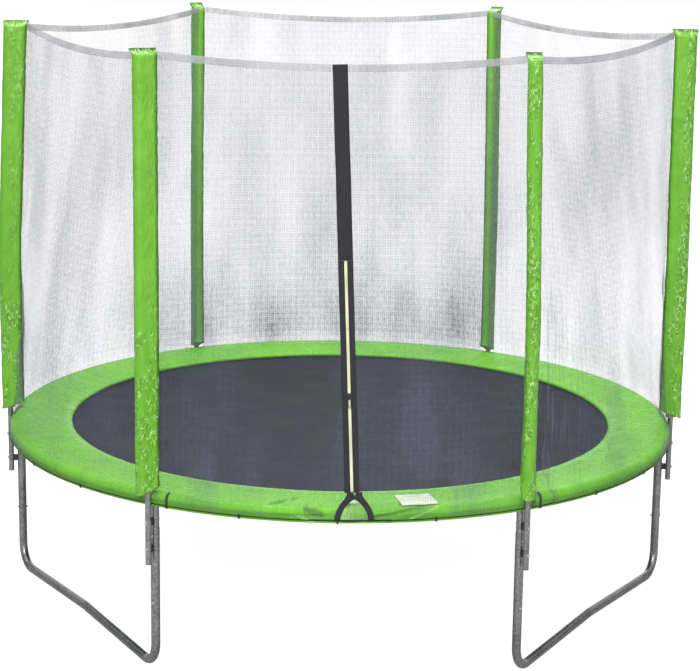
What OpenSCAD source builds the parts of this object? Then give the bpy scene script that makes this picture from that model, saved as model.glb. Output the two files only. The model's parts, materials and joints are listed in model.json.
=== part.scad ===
// Round garden trampoline with a safety net outside the frame.
// A ring of steel tube stands on three U legs. A woven mat hangs in it on coil springs,
// a padded cover hides the springs, and six sleeved poles carry a net with a zipped entrance.
// Millimetres, +Z up, origin on the ground under the middle of the mat, entrance towards -Y.

/* [Ring] */
// Outer diameter of the steel ring
frame_d = 3050; // [2900:10:3400]
// Height of the top of the ring above the ground
frame_h = 761; // [720:1:840]
// Diameter of the ring and leg tubes
tube_d = 38; // [37:0.5:40]
// Wall of the ring and leg tubes
tube_wall = 1.5; // [1.3:0.1:2]
// Length of the swaged end of each ring segment
ring_insert = 60; // [40:1:75]

/* [Legs] */
// Length of a leg socket, from the ring's centre line down
socket_len = 186; // [175:1:195]
// Height of the top end of a leg post
post_top = 622; // [615:1:630]
// Height of the shoulder where a leg post meets the leg base
base_top = 260; // [230:1:275]
// Length of the leg base's swaged end above its shoulder
base_insert = 70; // [60:1:80]
// Radius of the bends in a leg base, at the tube's centre line
leg_bend_r = 100; // [85:1:130]
// Rise of the middle of a leg base above its two feet
leg_rise = 23; // [10:1:35]
// Diameter of the bolts that hold the legs together
leg_bolt_d = 6; // [5:0.5:7]

/* [Net poles] */
// Diameter of a pole tube
pole_d = 25; // [23:0.5:27]
// Wall of a pole tube
pole_wall = 1.2; // [1:0.1:1.5]
// Distance from the centre line of a leg post to that of its pole
pole_offset = 48; // [46:0.5:56]
// Height of the lower end of a pole
pole_bottom = 479; // [440:1:500]
// Height where the upper pole tube meets the lower one
pole_joint = 1520; // [1300:1:1700]
// Height of the upper end of a pole
pole_top = 2572; // [2450:1:2700]
// Height of the lower clamp bolt
clamp_low = 540; // [525:1:548]
// Height of the upper clamp bolt
clamp_high = 655; // [645:1:670]
// Diameter of the clamp bolts
clamp_bolt_d = 8; // [7:0.5:9]

/* [Pole sleeves] */
// Width of a flattened sleeve
sleeve_w = 104; // [80:1:120]
// Thickness of a sleeve
sleeve_t = 56; // [47:1:60]
// Outer diameter of the foam tube inside a sleeve
foam_d = 44; // [36:1:46]
// Height of the lowest edge of a sleeve
sleeve_bottom = 778; // [775:1:790]
// Length of the sleeve above the pole's upper end
sleeve_over = 20; // [16:1:30]

/* [Springs] */
// Number of springs on each of the six ring segments
springs_per_segment = 9; // [7:1:10]
// Distance between the centres of a spring's two hooks
spring_len = 150; // [135:1:165]
// Outer diameter of a spring
spring_d = 22; // [18:0.5:23]
// Diameter of the spring wire
wire_d = 3.2; // [2.6:0.1:3.6]
// Radius of a spring hook, at the wire's centre line
hook_r = 8; // [7.5:0.1:8.5]

/* [Mat] */
// Thickness of the woven mat
mat_t = 2; // [1.5:0.1:2.5]
// Thickness of the mat's triangle rings
ring_bar = 4; // [3.5:0.1:4.5]
// Depth of a triangle ring, from its base bar to its outer bar
ring_depth = 33; // [28:1:40]
// Width of a webbing tab on the mat's edge
tab_w = 26; // [18:1:30]

/* [Safety pad] */
// Inner diameter of the padded cover
pad_inner_d = 2500; // [2440:10:2505]
// Thickness of the padded cover
pad_t = 18; // [14:0.5:24]
// Thickness of the skirt outside the ring
skirt_t = 10; // [7:0.5:10]
// Height of the skirt's lower edge above the ring's underside
skirt_up = -1; // [-4:0.5:4]

/* [Safety net] */
// Thickness of the net
net_t = 1.5; // [1:0.1:2]
// Sag of the net's top edge between two poles
net_sag = 44; // [20:1:70]
// Height of the doubled band along the top of the net
hem_h = 30; // [20:1:45]
// Height of the binding along the bottom of the net
binding_h = 8; // [6:0.5:16]

/* [Entrance] */
// Width of the webbing strip over the entrance
strip_w = 60; // [45:1:70]
// Height of the lower end of the zip
zip_bottom = 852; // [845:1:900]
// Height of the upper end of the zip
zip_top = 1772; // [1600:1:1900]
// Height of the zip slider
slider_h = 1235; // [1100:1:1400]
// Width of the zip's coil
coil_w = 12; // [8:0.5:14]

/* [Hidden] */
$fn = 64;
pole_count = 6;
leg_count = 3;
step_a = 360 / pole_count;
fit = 0.25; // radial clearance of one tube inside another
gap = 0.4; // clearance between two pieces that rest on each other

tube_r = tube_d / 2;
bore_r = tube_r - tube_wall;
insert_r = bore_r - fit;
bend_lip = 0.15; // a leg base's bar is slimmer than its bends by this much
ring_r = frame_d / 2 - tube_r;
ring_z = frame_h - tube_r;
joint_a = 0.3 / ring_r * 180 / PI; // gap between two ring segments, as an angle

pole_r = pole_d / 2;
pole_bore_r = pole_r - pole_wall;
pole_path_r = ring_r + pole_offset;
pole_insert = 70;
cap_t = 5;

// Hooks: a hook's circle is centred inwards of the ring tube and above its centre line.
hook_in = tube_r;
hook_up = 11.5;
wire_r = wire_d / 2;
spring_z = ring_z + hook_up;
hook_out_r = ring_r - hook_in;
hook_mat_r = hook_out_r - spring_len;
hook_reach = norm([hook_in, hook_up]);
wall_mid_r = tube_r - tube_wall / 2;
hook_cross_a = acos(
  (hook_reach * hook_reach + wall_mid_r * wall_mid_r - hook_r * hook_r) / (2 * hook_reach * wall_mid_r)
);
hook_hole_r = wire_r + 3.4;
hook_play = 0.9; // from a hook to the near side of its hole
hook_hole_a = atan2(hook_up, hook_in) + hook_cross_a
  + (hook_hole_r - wire_r - hook_play) / wall_mid_r * 180 / PI;
spring_count = springs_per_segment * pole_count;
spring_a = 360 / spring_count;

// The mat's edge follows from the springs.
mat_z = spring_z;
ring_out_r = hook_mat_r - (hook_r - wire_r - ring_bar / 2 - 0.3); // centre of a triangle ring's outer bar
ring_base_r = ring_out_r - ring_depth;
mat_r = ring_base_r - ring_bar / 2 - 1;
mat_rise = 0.4;
tab_t = 1.2;
tab_hug = 0.3;
tab_len = 25;
tab_h = ring_bar / 2 + tab_hug + tab_t; // half height of a tab where it wraps the ring's bar

// The padded cover lies on the tabs, the hooks and the ring.
pad_in_r = pad_inner_d / 2;
pad_low = mat_z + tab_h + gap;
pad_high = spring_z + max(hook_r + wire_r, spring_d / 2) + 1;
skirt_in_r = ring_r + tube_r + 1;
pad_out_r = skirt_in_r + skirt_t;
skirt_bottom = ring_z - tube_r - skirt_up;
pad_round = 26;
pad_top = pad_high + pad_t + 1.5;
cover_t = 1;

// Sleeves: each one is a flattened tube round its pole, with its free edge turned its own way.
sleeve_turn = [180, 245, 290, 0, 32, 92];
sleeve_back = [0.42, 0.16, 0.16, 0.2, 0.52, 0.16]; // share of the spare width behind each pole
foam_drop = [5, 0, 0, 0, 0, 0]; // how much lower the foam of each pole ends
sleeve_wall = 1.2;
sleeve_top = pole_top + sleeve_over;
sleeve_slant = 20;
sleeve_r = sleeve_t / 2;
sleeve_flat = sleeve_w - sleeve_t; // spare width between the two rounds
foam_bottom = pad_top + 2.4;

// The net hangs outside the padded cover and runs from sleeve to sleeve.
net_r = pad_out_r + 4.4; // outer face of the net's lower edge
net_low = skirt_bottom + 18;
net_high = sleeve_top - 12;
net_steps = 16; // facets of the net between two poles
net_levels = [0, 26, 34, 46, 62, 130, 400, 800, 1200, 1500];

// The entrance strip runs straight up the front of the net.
strip_t = 1.6;
strip_top_x = -23;
strip_low_x = 54;
strip_lift = 1.3; // from the net's face to the back of the strip
coil_t = 2.4;
slide_gap = 0.3; // from the slider to the tape, the coil and its pull
slider_len = 26;
slider_side = 3; // wall beside the coil
slider_floor = 1.4; // wall between the coil and the pull's slot
slider_w = coil_w + 2 * (slide_gap + slider_side);
pull_len = 46;
pull_w = slider_w - 2 * 2.7;
pull_t = 1.6;
pull_pin_r = 1.5;
pull_bore_r = pull_pin_r + 0.06;
pull_eye_r = pull_bore_r + 1;
pin_out = coil_t + slider_floor + 2 * slide_gap + pull_eye_r; // from the tape's face to the pin
slider_t = pin_out + pull_pin_r + 1.1;

// ---------- Helpers ----------

function pole_a(k) = step_a * (k - 1);
function on_circle(r, a) = [r * cos(a), r * sin(a)];
function mix(a, b, t) = a + (b - a) * t;
function arc(cx, cy, r, a0, a1, n) = [for (i = [0:n]) [cx, cy] + on_circle(r, mix(a0, a1, i / n))];

// A rod of radius r that lies along +X from the origin.
module rod_x(r, len) {
  rotate([0, 90, 0]) cylinder(r = r, h = len);
}

// Children once at each of count even places round the Z axis.
module around(count, first = 0) {
  for (i = [0:count - 1]) rotate([0, 0, first + i * 360 / count]) children();
}

// A part of a torus of tube radius r on the ring's centre line, from angle a0 to a1.
module ring_rod(r, a0, a1) {
  rotate([0, 0, a0])
    rotate_extrude(angle = a1 - a0, $fn = 128) translate([ring_r, 0]) circle(r = r);
}

// A polygon in the (radius, height) plane, pushed out to width w across the radius.
module radial_slab(w) {
  translate([0, w / 2, 0]) rotate([90, 0, 0]) linear_extrude(height = w) children();
}

// A hex bolt along +X: its head's face on the origin, its shank running to +X, with a nut and washer.
module bolt_x(d, grip, head_h) {
  translate([-head_h, 0, 0]) rotate([0, 90, 0]) cylinder(r = d * 0.9, h = head_h, $fn = 6);
  rod_x(d / 2, grip + head_h + 3);
  translate([grip, 0, 0]) rotate([0, 90, 0]) cylinder(r = d * 1.05, h = 1.2);
  translate([grip + 1.2, 0, 0]) rotate([0, 90, 0]) cylinder(r = d * 0.9, h = head_h, $fn = 6);
}

// ---------- Steel ring ----------

// One sixth of the ring, with its leg socket in the middle and a swaged end that fits the next one.
module ring_segment(k) {
  half = step_a / 2;
  neck_a = 4 / ring_r * 180 / PI;
  insert_a = ring_insert / ring_r * 180 / PI;
  color("silver") rotate([0, 0, pole_a(k)]) difference() {
    union() {
      ring_rod(tube_r, -half + joint_a, half);
      ring_rod(insert_r, half - neck_a, half + insert_a);
      translate([ring_r, 0, -socket_len]) cylinder(r = insert_r, h = socket_len);
    }
    ring_rod(bore_r, -half, half - neck_a);
    ring_rod(insert_r - tube_wall, half - 2 * neck_a, half + insert_a + 1);
    translate([ring_r, 0, -socket_len - 1]) cylinder(r = insert_r - tube_wall, h = socket_len + 1);
    for (i = [0:springs_per_segment - 1])
      rotate([0, 0, (i - (springs_per_segment - 1) / 2) * spring_a]) hook_hole();
    for (z = [clamp_high - ring_z, socket_bolt_z() - ring_z])
      translate([ring_r - 2 * tube_r, 0, z])
        rod_x((z > post_top - ring_z ? clamp_bolt_d : leg_bolt_d) / 2 + fit, 4 * tube_r);
  }
}

// The hole in the ring tube that a spring's hook drops into.
module hook_hole() {
  translate([ring_r, 0, 0]) rotate([0, hook_hole_a - 90, 0])
    translate([0, 0, bore_r - 3]) cylinder(r = hook_hole_r, h = tube_wall + 6, $fn = 32);
}

// ---------- Legs ----------

function socket_bolt_z() = post_top - 32;
function base_bolt_z() = base_top + 38;

module leg_post(k) {
  bolt_holes = [socket_bolt_z(), base_bolt_z()];
  color("silver") rotate([0, 0, pole_a(k)]) translate([ring_r, 0, 0]) difference() {
    translate([0, 0, base_top + gap]) cylinder(r = tube_r, h = post_top - base_top - gap);
    translate([0, 0, base_top - 1]) cylinder(r = bore_r, h = post_top - base_top + 2);
    for (z = bolt_holes) translate([-2 * tube_r, 0, z]) rod_x(leg_bolt_d / 2 + fit, 4 * tube_r);
    translate([-2 * tube_r, 0, clamp_low]) rod_x(clamp_bolt_d / 2 + fit, 4 * tube_r);
  }
}

// A leg base's path, drawn as a solid of radius r in the XZ plane: from each post's foot, round the
// bend and up the slight slope to the middle at x = 0, where the two sides meet in a mitre.
module base_path(r, top) {
  half_span = ring_r * sin(step_a / 2);
  bend_x = half_span - leg_bend_r;
  bend_z = leg_bend_r + tube_r;
  slope = atan(leg_rise / bend_x);
  bar_r = r - bend_lip;
  for (side = [0, 1]) mirror([side, 0, 0]) {
    translate([-half_span, 0, bend_z]) cylinder(r = r, h = top - bend_z);
    translate([-bend_x, 0, bend_z]) rotate([90, 0, 0]) rotate([0, 0, 180])
      rotate_extrude(angle = 90, $fn = 128) translate([leg_bend_r, 0]) circle(r = r);
    intersection() {
      translate([-bend_x, 0, tube_r]) rotate([0, 90 - slope, 0])
        translate([0, 0, -r]) cylinder(r = bar_r, h = bend_x / cos(slope) + 2 * r);
      translate([-bend_x, -tube_d, -tube_d]) cube([bend_x, 2 * tube_d, 4 * tube_d]);
    }
  }
}

// A bent tube with two feet: it carries the posts at the same two corners of the ring.
module leg_base(k) {
  half_span = ring_r * sin(step_a / 2);
  neck = 4;
  color("silver") rotate([0, 0, 360 / leg_count * (k - 1)])
    translate([0, ring_r * cos(step_a / 2), 0]) difference() {
      union() {
        base_path(tube_r, base_top);
        for (x = [-half_span, half_span])
          translate([x, 0, base_top - neck]) cylinder(r = insert_r, h = base_insert + neck);
      }
      base_path(bore_r, base_top - neck);
      for (side = [-1, 1]) translate([side * half_span, 0, 0]) {
        translate([0, 0, base_top - 2 * neck])
          cylinder(r = insert_r - tube_wall, h = base_insert + 3 * neck);
        rotate([0, 0, 90 - side * step_a / 2]) translate([-2 * tube_r, 0, base_bolt_z()])
          rod_x(leg_bolt_d / 2 + fit, 4 * tube_r);
      }
    }
}

// Two bolts for each post: one through the socket and one through the leg base's swaged end.
module leg_bolts() {
  color("gainsboro") around(pole_count) for (z = [socket_bolt_z(), base_bolt_z()])
    translate([ring_r + tube_r, 0, z]) rotate([0, 0, 180]) bolt_x(leg_bolt_d, tube_d, 4);
}

// ---------- Net poles ----------

module pole_lower(k) {
  color("silver") rotate([0, 0, pole_a(k)]) translate([pole_path_r, 0, 0]) difference() {
    translate([0, 0, pole_bottom]) cylinder(r = pole_r, h = pole_joint - pole_bottom);
    translate([0, 0, pole_bottom - 1]) cylinder(r = pole_bore_r, h = pole_joint - pole_bottom + 2);
    for (z = [clamp_low, clamp_high])
      translate([-2 * pole_r, 0, z]) rod_x(clamp_bolt_d / 2 + fit, 4 * pole_r);
  }
}

module pole_upper(k) {
  neck = 4;
  swage_r = pole_bore_r - fit;
  color("silver") rotate([0, 0, pole_a(k)]) translate([pole_path_r, 0, 0]) difference() {
    union() {
      translate([0, 0, pole_joint + gap]) cylinder(r = pole_r, h = pole_top - pole_joint - gap);
      translate([0, 0, pole_joint - pole_insert]) cylinder(r = swage_r, h = pole_insert + neck);
    }
    translate([0, 0, pole_joint - pole_insert - 1])
      cylinder(r = swage_r - pole_wall, h = pole_insert + 3 * neck);
    translate([0, 0, pole_joint + 2 * neck]) cylinder(r = pole_bore_r, h = pole_top - pole_joint);
  }
}

// Round caps that plug the poles' upper ends.
module pole_caps() {
  color("dimgray") around(pole_count) translate([pole_path_r, 0, pole_top]) {
    cylinder(r = pole_r + 1, h = cap_t);
    translate([0, 0, -14]) cylinder(r = pole_bore_r - fit, h = 14);
  }
}

// Plugs in the poles' lower ends.
module pole_plugs() {
  color("dimgray") around(pole_count) translate([pole_path_r, 0, pole_bottom - 2]) {
    cylinder(r = pole_r, h = 2);
    cylinder(r = pole_bore_r - fit, h = 16);
  }
}

// A moulded spacer between a leg and its pole at each clamp bolt, hollowed to both tubes.
module clamp_spacers() {
  h = 26;
  color("#1d1d1f") around(pole_count) for (z = [clamp_low, clamp_high]) {
    leg_r = z > post_top ? insert_r : tube_r;
    translate([0, 0, z - h / 2]) difference() {
      translate([ring_r + leg_r * 0.8, -9, 0]) cube([pole_offset - leg_r * 0.8 - pole_r * 0.5, 18, h]);
      translate([ring_r, 0, -1]) cylinder(r = leg_r + fit, h = h + 2);
      translate([pole_path_r, 0, -1]) cylinder(r = pole_r + fit, h = h + 2);
      translate([ring_r, 0, h / 2]) rod_x(clamp_bolt_d / 2 + fit, pole_offset);
    }
  }
}

// Long bolts from the outside of each pole, through the spacer and the leg.
module clamp_bolts() {
  color("gainsboro") around(pole_count) for (z = [clamp_low, clamp_high]) {
    leg_r = z > post_top ? insert_r : tube_r;
    translate([pole_path_r + pole_r, 0, z]) rotate([0, 0, 180])
      bolt_x(clamp_bolt_d, pole_r + pole_offset + leg_r, 5);
  }
}

// ---------- Pole sleeves ----------

// The flattened outline of a sleeve in plan, grown by g, with its outer round at the origin.
module sleeve_outline(g) {
  circle(r = sleeve_r + g);
  translate([sleeve_flat, 0]) circle(r = sleeve_r + g);
  translate([0, -sleeve_r - g]) square([sleeve_flat, sleeve_t + 2 * g]);
}

// A fabric sleeve over the foam, closed at the top, with its lower end cut on a slant so that it
// hangs lowest outside the pad.
module pole_sleeve(k) {
  color("yellowgreen") rotate([0, 0, pole_a(k)]) translate([pole_path_r, 0, 0])
    rotate([0, 0, sleeve_turn[k - 1] - pole_a(k)])
    translate([-sleeve_back[k - 1] * sleeve_flat, 0, 0]) difference() {
      translate([0, 0, sleeve_bottom]) linear_extrude(height = sleeve_top - sleeve_bottom)
        sleeve_outline(0);
      translate([0, 0, sleeve_bottom - 1])
        linear_extrude(height = sleeve_top - sleeve_bottom + 1 - sleeve_wall)
          sleeve_outline(-sleeve_wall);
      translate([-sleeve_r, 0, sleeve_bottom]) rotate([0, -sleeve_slant, 0])
        translate([-sleeve_w, -sleeve_w, -sleeve_w]) cube([3 * sleeve_w, 2 * sleeve_w, sleeve_w]);
    }
}

// Foam tubes on the poles.
module pole_foam() {
  color("slategray") for (k = [1:pole_count]) rotate([0, 0, pole_a(k)])
    translate([pole_path_r, 0, foam_bottom - foam_drop[k - 1]]) difference() {
      cylinder(r = foam_d / 2, h = pole_top - 2 - foam_bottom + foam_drop[k - 1]);
      translate([0, 0, -1]) cylinder(r = pole_r + fit, h = pole_top);
    }
}

// ---------- Springs and mat ----------

// A hook of square wire in the XZ plane about the origin, from angle a0 to a1.
module hook(a0, a1) {
  rotate([90, 0, 0]) rotate([0, 0, a0]) translate([0, 0, -wire_r])
    rotate_extrude(angle = a1 - a0, $fn = 48) translate([hook_r - wire_r, 0]) square(wire_d);
}

// One spring along +X with its inner hook's centre at the origin: a solid coil with tapered ends.
module spring() {
  coil_r = spring_d / 2;
  taper = 14;
  root = hook_r - 0.6; // where the wire leaves the middle of a hook's side
  start = hook_r + 4;
  outline = [
    [0, root], [wire_r, root], [wire_r, start], [coil_r, start + taper],
    [coil_r, spring_len - start - taper], [wire_r, spring_len - start],
    [wire_r, spring_len - root], [0, spring_len - root]
  ];
  rotate([0, 90, 0]) rotate_extrude($fn = 48) polygon(outline);
  hook(0, 205);
  translate([spring_len, 0, 0]) hook(-40, 180);
}

module springs() {
  color("gainsboro") around(spring_count, spring_a * (springs_per_segment % 2 == 0 ? 0.5 : 0))
    translate([hook_mat_r, 0, spring_z]) spring();
}

// The mat's triangle rings, flat and blunt at the spring's end.
module mat_rings() {
  half_in = 9;
  half_base = 19;
  depth = ring_bar / 2;
  color("silver") around(spring_count, spring_a * (springs_per_segment % 2 == 0 ? 0.5 : 0))
    translate([0, 0, mat_z - depth]) linear_extrude(height = ring_bar) difference() {
      polygon([
        [ring_base_r - depth, -half_base], [ring_base_r + depth, -half_base],
        [ring_out_r + depth, -half_in], [ring_out_r + depth, half_in],
        [ring_base_r + depth, half_base], [ring_base_r - depth, half_base]
      ]);
      polygon([
        [ring_base_r + depth, 4 - half_base], [ring_out_r - depth, 4 - half_in],
        [ring_out_r - depth, half_in - 4], [ring_base_r + depth, half_base - 4]
      ]);
    }
}

// Webbing tabs that wrap each triangle ring's base bar and are sewn to both faces of the mat.
module mat_tabs() {
  t = mat_t / 2;
  hug = ring_bar / 2 + tab_hug;
  end_in = ring_base_r + ring_bar / 2 + tab_hug;
  color("#18181a") around(spring_count, spring_a * (springs_per_segment % 2 == 0 ? 0.5 : 0))
    translate([0, 0, mat_z]) radial_slab(min(tab_w, 28)) difference() {
      polygon([
        [mat_r - tab_len, -t - tab_t], [mat_r - 3, -t - tab_t], [mat_r - 1, -tab_h],
        [end_in + tab_t, -tab_h], [end_in + tab_t, tab_h], [mat_r - 1, tab_h],
        [mat_r - 3, t + tab_t], [mat_r - tab_len, t + tab_t]
      ]);
      polygon([
        [mat_r - tab_len - 1, -t], [mat_r, -t], [mat_r + 1 - tab_hug, -hug], [end_in, -hug],
        [end_in, hug], [mat_r + 1 - tab_hug, hug], [mat_r, t], [mat_r - tab_len - 1, t]
      ]);
    }
}

// The mat, with its jumping face a touch above the sewn edge and clear of the pad's inner edge.
module jump_mat() {
  color("#3c4048") translate([0, 0, mat_z - mat_t / 2]) {
    cylinder(r = mat_r, h = mat_t, $fn = 192);
    translate([0, 0, mat_t / 2]) cylinder(r = pad_in_r - 4, h = mat_t / 2 + mat_rise, $fn = 192);
  }
}

// The folded and sewn edge of the mat, just inside the tabs.
module mat_hem() {
  color("#18181a") rotate_extrude($fn = 192)
    translate([mat_r - tab_len - 20, mat_z + mat_t / 2]) square([19, tab_t]);
}

// ---------- Safety pad ----------

// The padded cover's section as (radius, height) points, shrunk inwards by e.
function pad_outline(e) = concat(
  arc(pad_in_r + pad_t / 2, pad_low + pad_t / 2, pad_t / 2 - e, 270, 90, 10),
  arc(pad_out_r - pad_round, pad_top - pad_round, pad_round - e, 90, 0, 8),
  arc(pad_out_r - skirt_t / 2, skirt_bottom + skirt_t / 2, skirt_t / 2 - e, 0, -180, 8),
  [
    [skirt_in_r + e, pad_high - 3 + e], [skirt_in_r - 3 + e, pad_high + e],
    [hook_mat_r - hook_r - 4, pad_high + e], [ring_base_r + 8, pad_low + e]
  ]
);

module safety_pad_cover() {
  color("yellowgreen") rotate_extrude($fn = 192) difference() {
    polygon(pad_outline(0));
    polygon(pad_outline(cover_t));
  }
}

module pad_foam() {
  color("white") rotate_extrude($fn = 192) polygon(pad_outline(cover_t + 0.1));
}

// Elastic straps beside the poles, from the top of the pad round its skirt to its lower edge.
module pad_straps() {
  strap_t = 1.2;
  edge = pad_out_r + gap;
  strap_in = ring_r + tube_r / 2;
  top_c = [pad_out_r - pad_round, pad_top - pad_round];
  outer = concat(
    arc(top_c[0], top_c[1], pad_round + gap + strap_t, 80, 0, 8),
    [[edge + strap_t, skirt_bottom + skirt_t / 2]],
    [[edge + strap_t, skirt_bottom - gap - strap_t], [strap_in, skirt_bottom - gap - strap_t]]
  );
  inner = concat(
    [[strap_in, skirt_bottom - gap], [edge, skirt_bottom - gap]],
    arc(top_c[0], top_c[1], pad_round + gap, 0, 80, 8)
  );
  color("#18181a") around(pole_count, 2.9) radial_slab(18) polygon(concat(outer, inner));
}

// Two plain sewn-on patches near the entrance.
module pad_labels() {
  rise = atan((pad_top - pad_low - pad_t) / (pad_out_r - pad_round - pad_in_r - pad_t / 2));
  patches = [[-87.9, 60, 70, 130], [-77.2, 150, 125, 100]]; // bearing, width, depth, start
  color("honeydew") for (p = patches) rotate([0, 0, p[0]])
    translate([pad_in_r + pad_t / 2, 0, pad_low + pad_t + gap]) rotate([0, -rise, 0])
      translate([p[3], -p[1] / 2, 0]) cube([p[2], p[1], 0.6]);
}

// ---------- Safety net ----------

// Where the net meets sleeve k in plan: just inside the round of the sleeve's free edge.
function net_corner(k) = on_circle(pole_path_r, pole_a(k))
  + on_circle((1 - sleeve_back[k - 1]) * sleeve_flat, sleeve_turn[k - 1])
  + on_circle(sleeve_r + gap, pole_a(k) + 180);

// How far the net has come in from the circle towards the straight side, at a share u along the
// side and h above the net's lower edge. Beside a sleeve it comes in at once, over the pad's edge.
function net_share(u, h) =
  let (near = pow(abs(2 * u - 1), 6), top = net_high - net_low)
  mix(max(0, (h - net_levels[1]) / (top - net_levels[1])),
    h <= net_levels[2] ? 0 : h <= net_levels[3] ? 0.42 : 1, near);

// A point of the net's outer face, moved inwards by e.
function net_point(side, u, h, e) =
  let (
    a = pole_a(side) + step_a * u,
    chord = mix(net_corner(side), net_corner(side % pole_count + 1), u),
    p = mix(on_circle(net_r, a), chord, net_share(u, h))
  )
  p * (1 - e / norm(p));

function net_top(u) = net_high - net_sag * 4 * u * (1 - u);

// A closed band of net between the heights low(u) and high(u) above net_low: levels lists the
// heights, cut off at the band's top edge.
module net_band(levels, thickness, out) {
  n = pole_count * net_steps;
  m = len(levels);
  points = [
    for (face = [0, 1]) for (j = [0:m - 1]) for (i = [0:n - 1])
      let (
        side = floor(i / net_steps) + 1,
        u = (i % net_steps) / net_steps,
        h = levels[j] < 0 ? net_top(u) - net_low + levels[j] + 1 : levels[j],
        p = net_point(side, u, h, (1 - face) * 0 + face * thickness - out)
      ) [p[0], p[1], net_low + h]
  ];
  function id(face, j, i) = (face * m + j) * n + i % n;
  outer = [for (j = [0:m - 2]) for (i = [0:n - 1])
    each [[id(0, j, i), id(0, j + 1, i), id(0, j + 1, i + 1)], [id(0, j, i), id(0, j + 1, i + 1), id(0, j, i + 1)]]];
  inner = [for (j = [0:m - 2]) for (i = [0:n - 1])
    each [[id(1, j, i), id(1, j + 1, i + 1), id(1, j + 1, i)], [id(1, j, i), id(1, j, i + 1), id(1, j + 1, i + 1)]]];
  rims = [for (i = [0:n - 1]) each [
    [id(0, 0, i), id(0, 0, i + 1), id(1, 0, i + 1)], [id(0, 0, i), id(1, 0, i + 1), id(1, 0, i)],
    [id(0, m - 1, i), id(1, m - 1, i + 1), id(0, m - 1, i + 1)], [id(0, m - 1, i), id(1, m - 1, i), id(1, m - 1, i + 1)]
  ]];
  polyhedron(points, concat(outer, inner, rims));
}

// A level below zero counts down from the net's top edge: -1 is the edge itself.
module safety_net() {
  color("whitesmoke", 0.4) net_band(concat(net_levels, [-1 - hem_h]), net_t, 0);
}

module net_top_hem() {
  color("gainsboro") net_band([-1 - hem_h + gap, -1], net_t + 0.6, 0);
}

module net_bottom_hem() {
  color("#18181a") rotate_extrude($fn = 192)
    translate([net_r - net_t, net_low - gap - binding_h]) square([net_t, binding_h]);
}

// Elastic loops that hold the net's lower binding to the underside of the ring.
module net_ties() {
  tie_t = 1.4;
  loop_r = tube_r + gap;
  low = skirt_bottom - gap - 2 - tie_t;
  color("#18181a") for (k = [1:pole_count], a = [15, 30, 45]) rotate([0, 0, pole_a(k) + a])
    radial_slab(8) {
      difference() {
        translate([ring_r, ring_z]) circle(r = loop_r + tie_t);
        translate([ring_r, ring_z]) circle(r = loop_r);
        translate([ring_r - 2 * tube_r, ring_z]) square([4 * tube_r, 2 * tube_r]);
        translate([ring_r, ring_z - 2 * tube_r]) square([2 * tube_r, 4 * tube_r]);
      }
      translate([ring_r, ring_z - loop_r - tie_t]) square([net_r + 0.6 - ring_r, tie_t]);
      translate([net_r + 0.3, ring_z - loop_r - tie_t]) square([0.9, net_low - ring_z + loop_r]);
    }
}

// ---------- Entrance ----------

// The line up the front of the net that the entrance follows, at height z.
function front_u(x) = 0.5 + x / (2 * net_r * sin(step_a / 2));
function front_point(x, z) =
  let (side = 5, p = net_point(side, front_u(x), z - net_low, 0)) [p[0], p[1], z];
strip_low = front_point(strip_low_x, zip_bottom);
strip_high = front_point(strip_top_x, net_top(front_u(strip_top_x)));
strip_run = strip_high - strip_low;
strip_full = norm(strip_run);
function strip_at(z) = (z - zip_bottom) / (strip_high[2] - zip_bottom) * strip_full;

// Children stand on the entrance line: +Z runs up it, -Y points out from the net.
module on_entrance() {
  translate(strip_low) rotate([-atan2(strip_run[1], strip_run[2]), 0, 0])
    rotate([0, atan2(strip_run[0], norm([strip_run[1], strip_run[2]])), 0])
      translate([0, -strip_lift, 0]) children();
}

// Plain webbing over the upper part of the entrance.
module entrance_strip() {
  from = strip_at(zip_top);
  color("#2b2b30") on_entrance() translate([-strip_w / 2, -strip_t, from + gap])
    cube([strip_w, strip_t, strip_full - from - gap]);
}

// The two tapes of the zip, joined at their ends by the stops.
module zip_tape() {
  run = strip_at(zip_top);
  color("#2b2b30") on_entrance() translate([-strip_w / 2, -strip_t, 0]) cube([strip_w, strip_t, run]);
}

module zip_coil() {
  run = strip_at(zip_top);
  color("#e6e6b0") on_entrance() translate([-coil_w / 2, -strip_t - coil_t, 6]) cube([coil_w, coil_t, run - 12]);
}

// Binding tape in a pointed arch, from the foot of the zip down to the net's lower binding. Each
// half is turned a little to follow the round of the net.
module entrance_binding() {
  arch_r = 130;
  arch_half = 80;
  tape = 24;
  shift = 10;
  turn = 1.6;
  lap = 4;
  reach = norm([strip_low[0], strip_low[1]]);
  drop = zip_bottom - net_low + gap;
  arch_low = sqrt(arch_r * arch_r - pow(arch_r - arch_half, 2)) - drop;
  bearing = atan2(strip_low[1], strip_low[0]) + shift / reach * 180 / PI;
  lean = -atan2(net_r - reach, zip_bottom - net_low - net_levels[1]);
  color("#18181a") for (s = [-1, 1]) rotate([0, 0, bearing + 90 + s * turn])
    translate([0, -reach, zip_bottom - gap]) rotate([lean, 0, 0])
      translate([-s * reach * tan(turn), -strip_lift, -arch_low - drop]) rotate([90, 0, 0])
        linear_extrude(height = strip_t) intersection() {
          difference() {
            arch(arch_r, arch_half);
            arch(arch_r - tape, arch_half - tape);
          }
          translate([s < 0 ? -arch_r : -lap, arch_low]) square([arch_r + lap, 2 * arch_r]);
        }
}

// A lens: two circles that cross above and below the middle.
module arch(r, half) {
  intersection() {
    translate([half - r, 0]) circle(r = r, $fn = 96);
    translate([r - half, 0]) circle(r = r, $fn = 96);
  }
}

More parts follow.
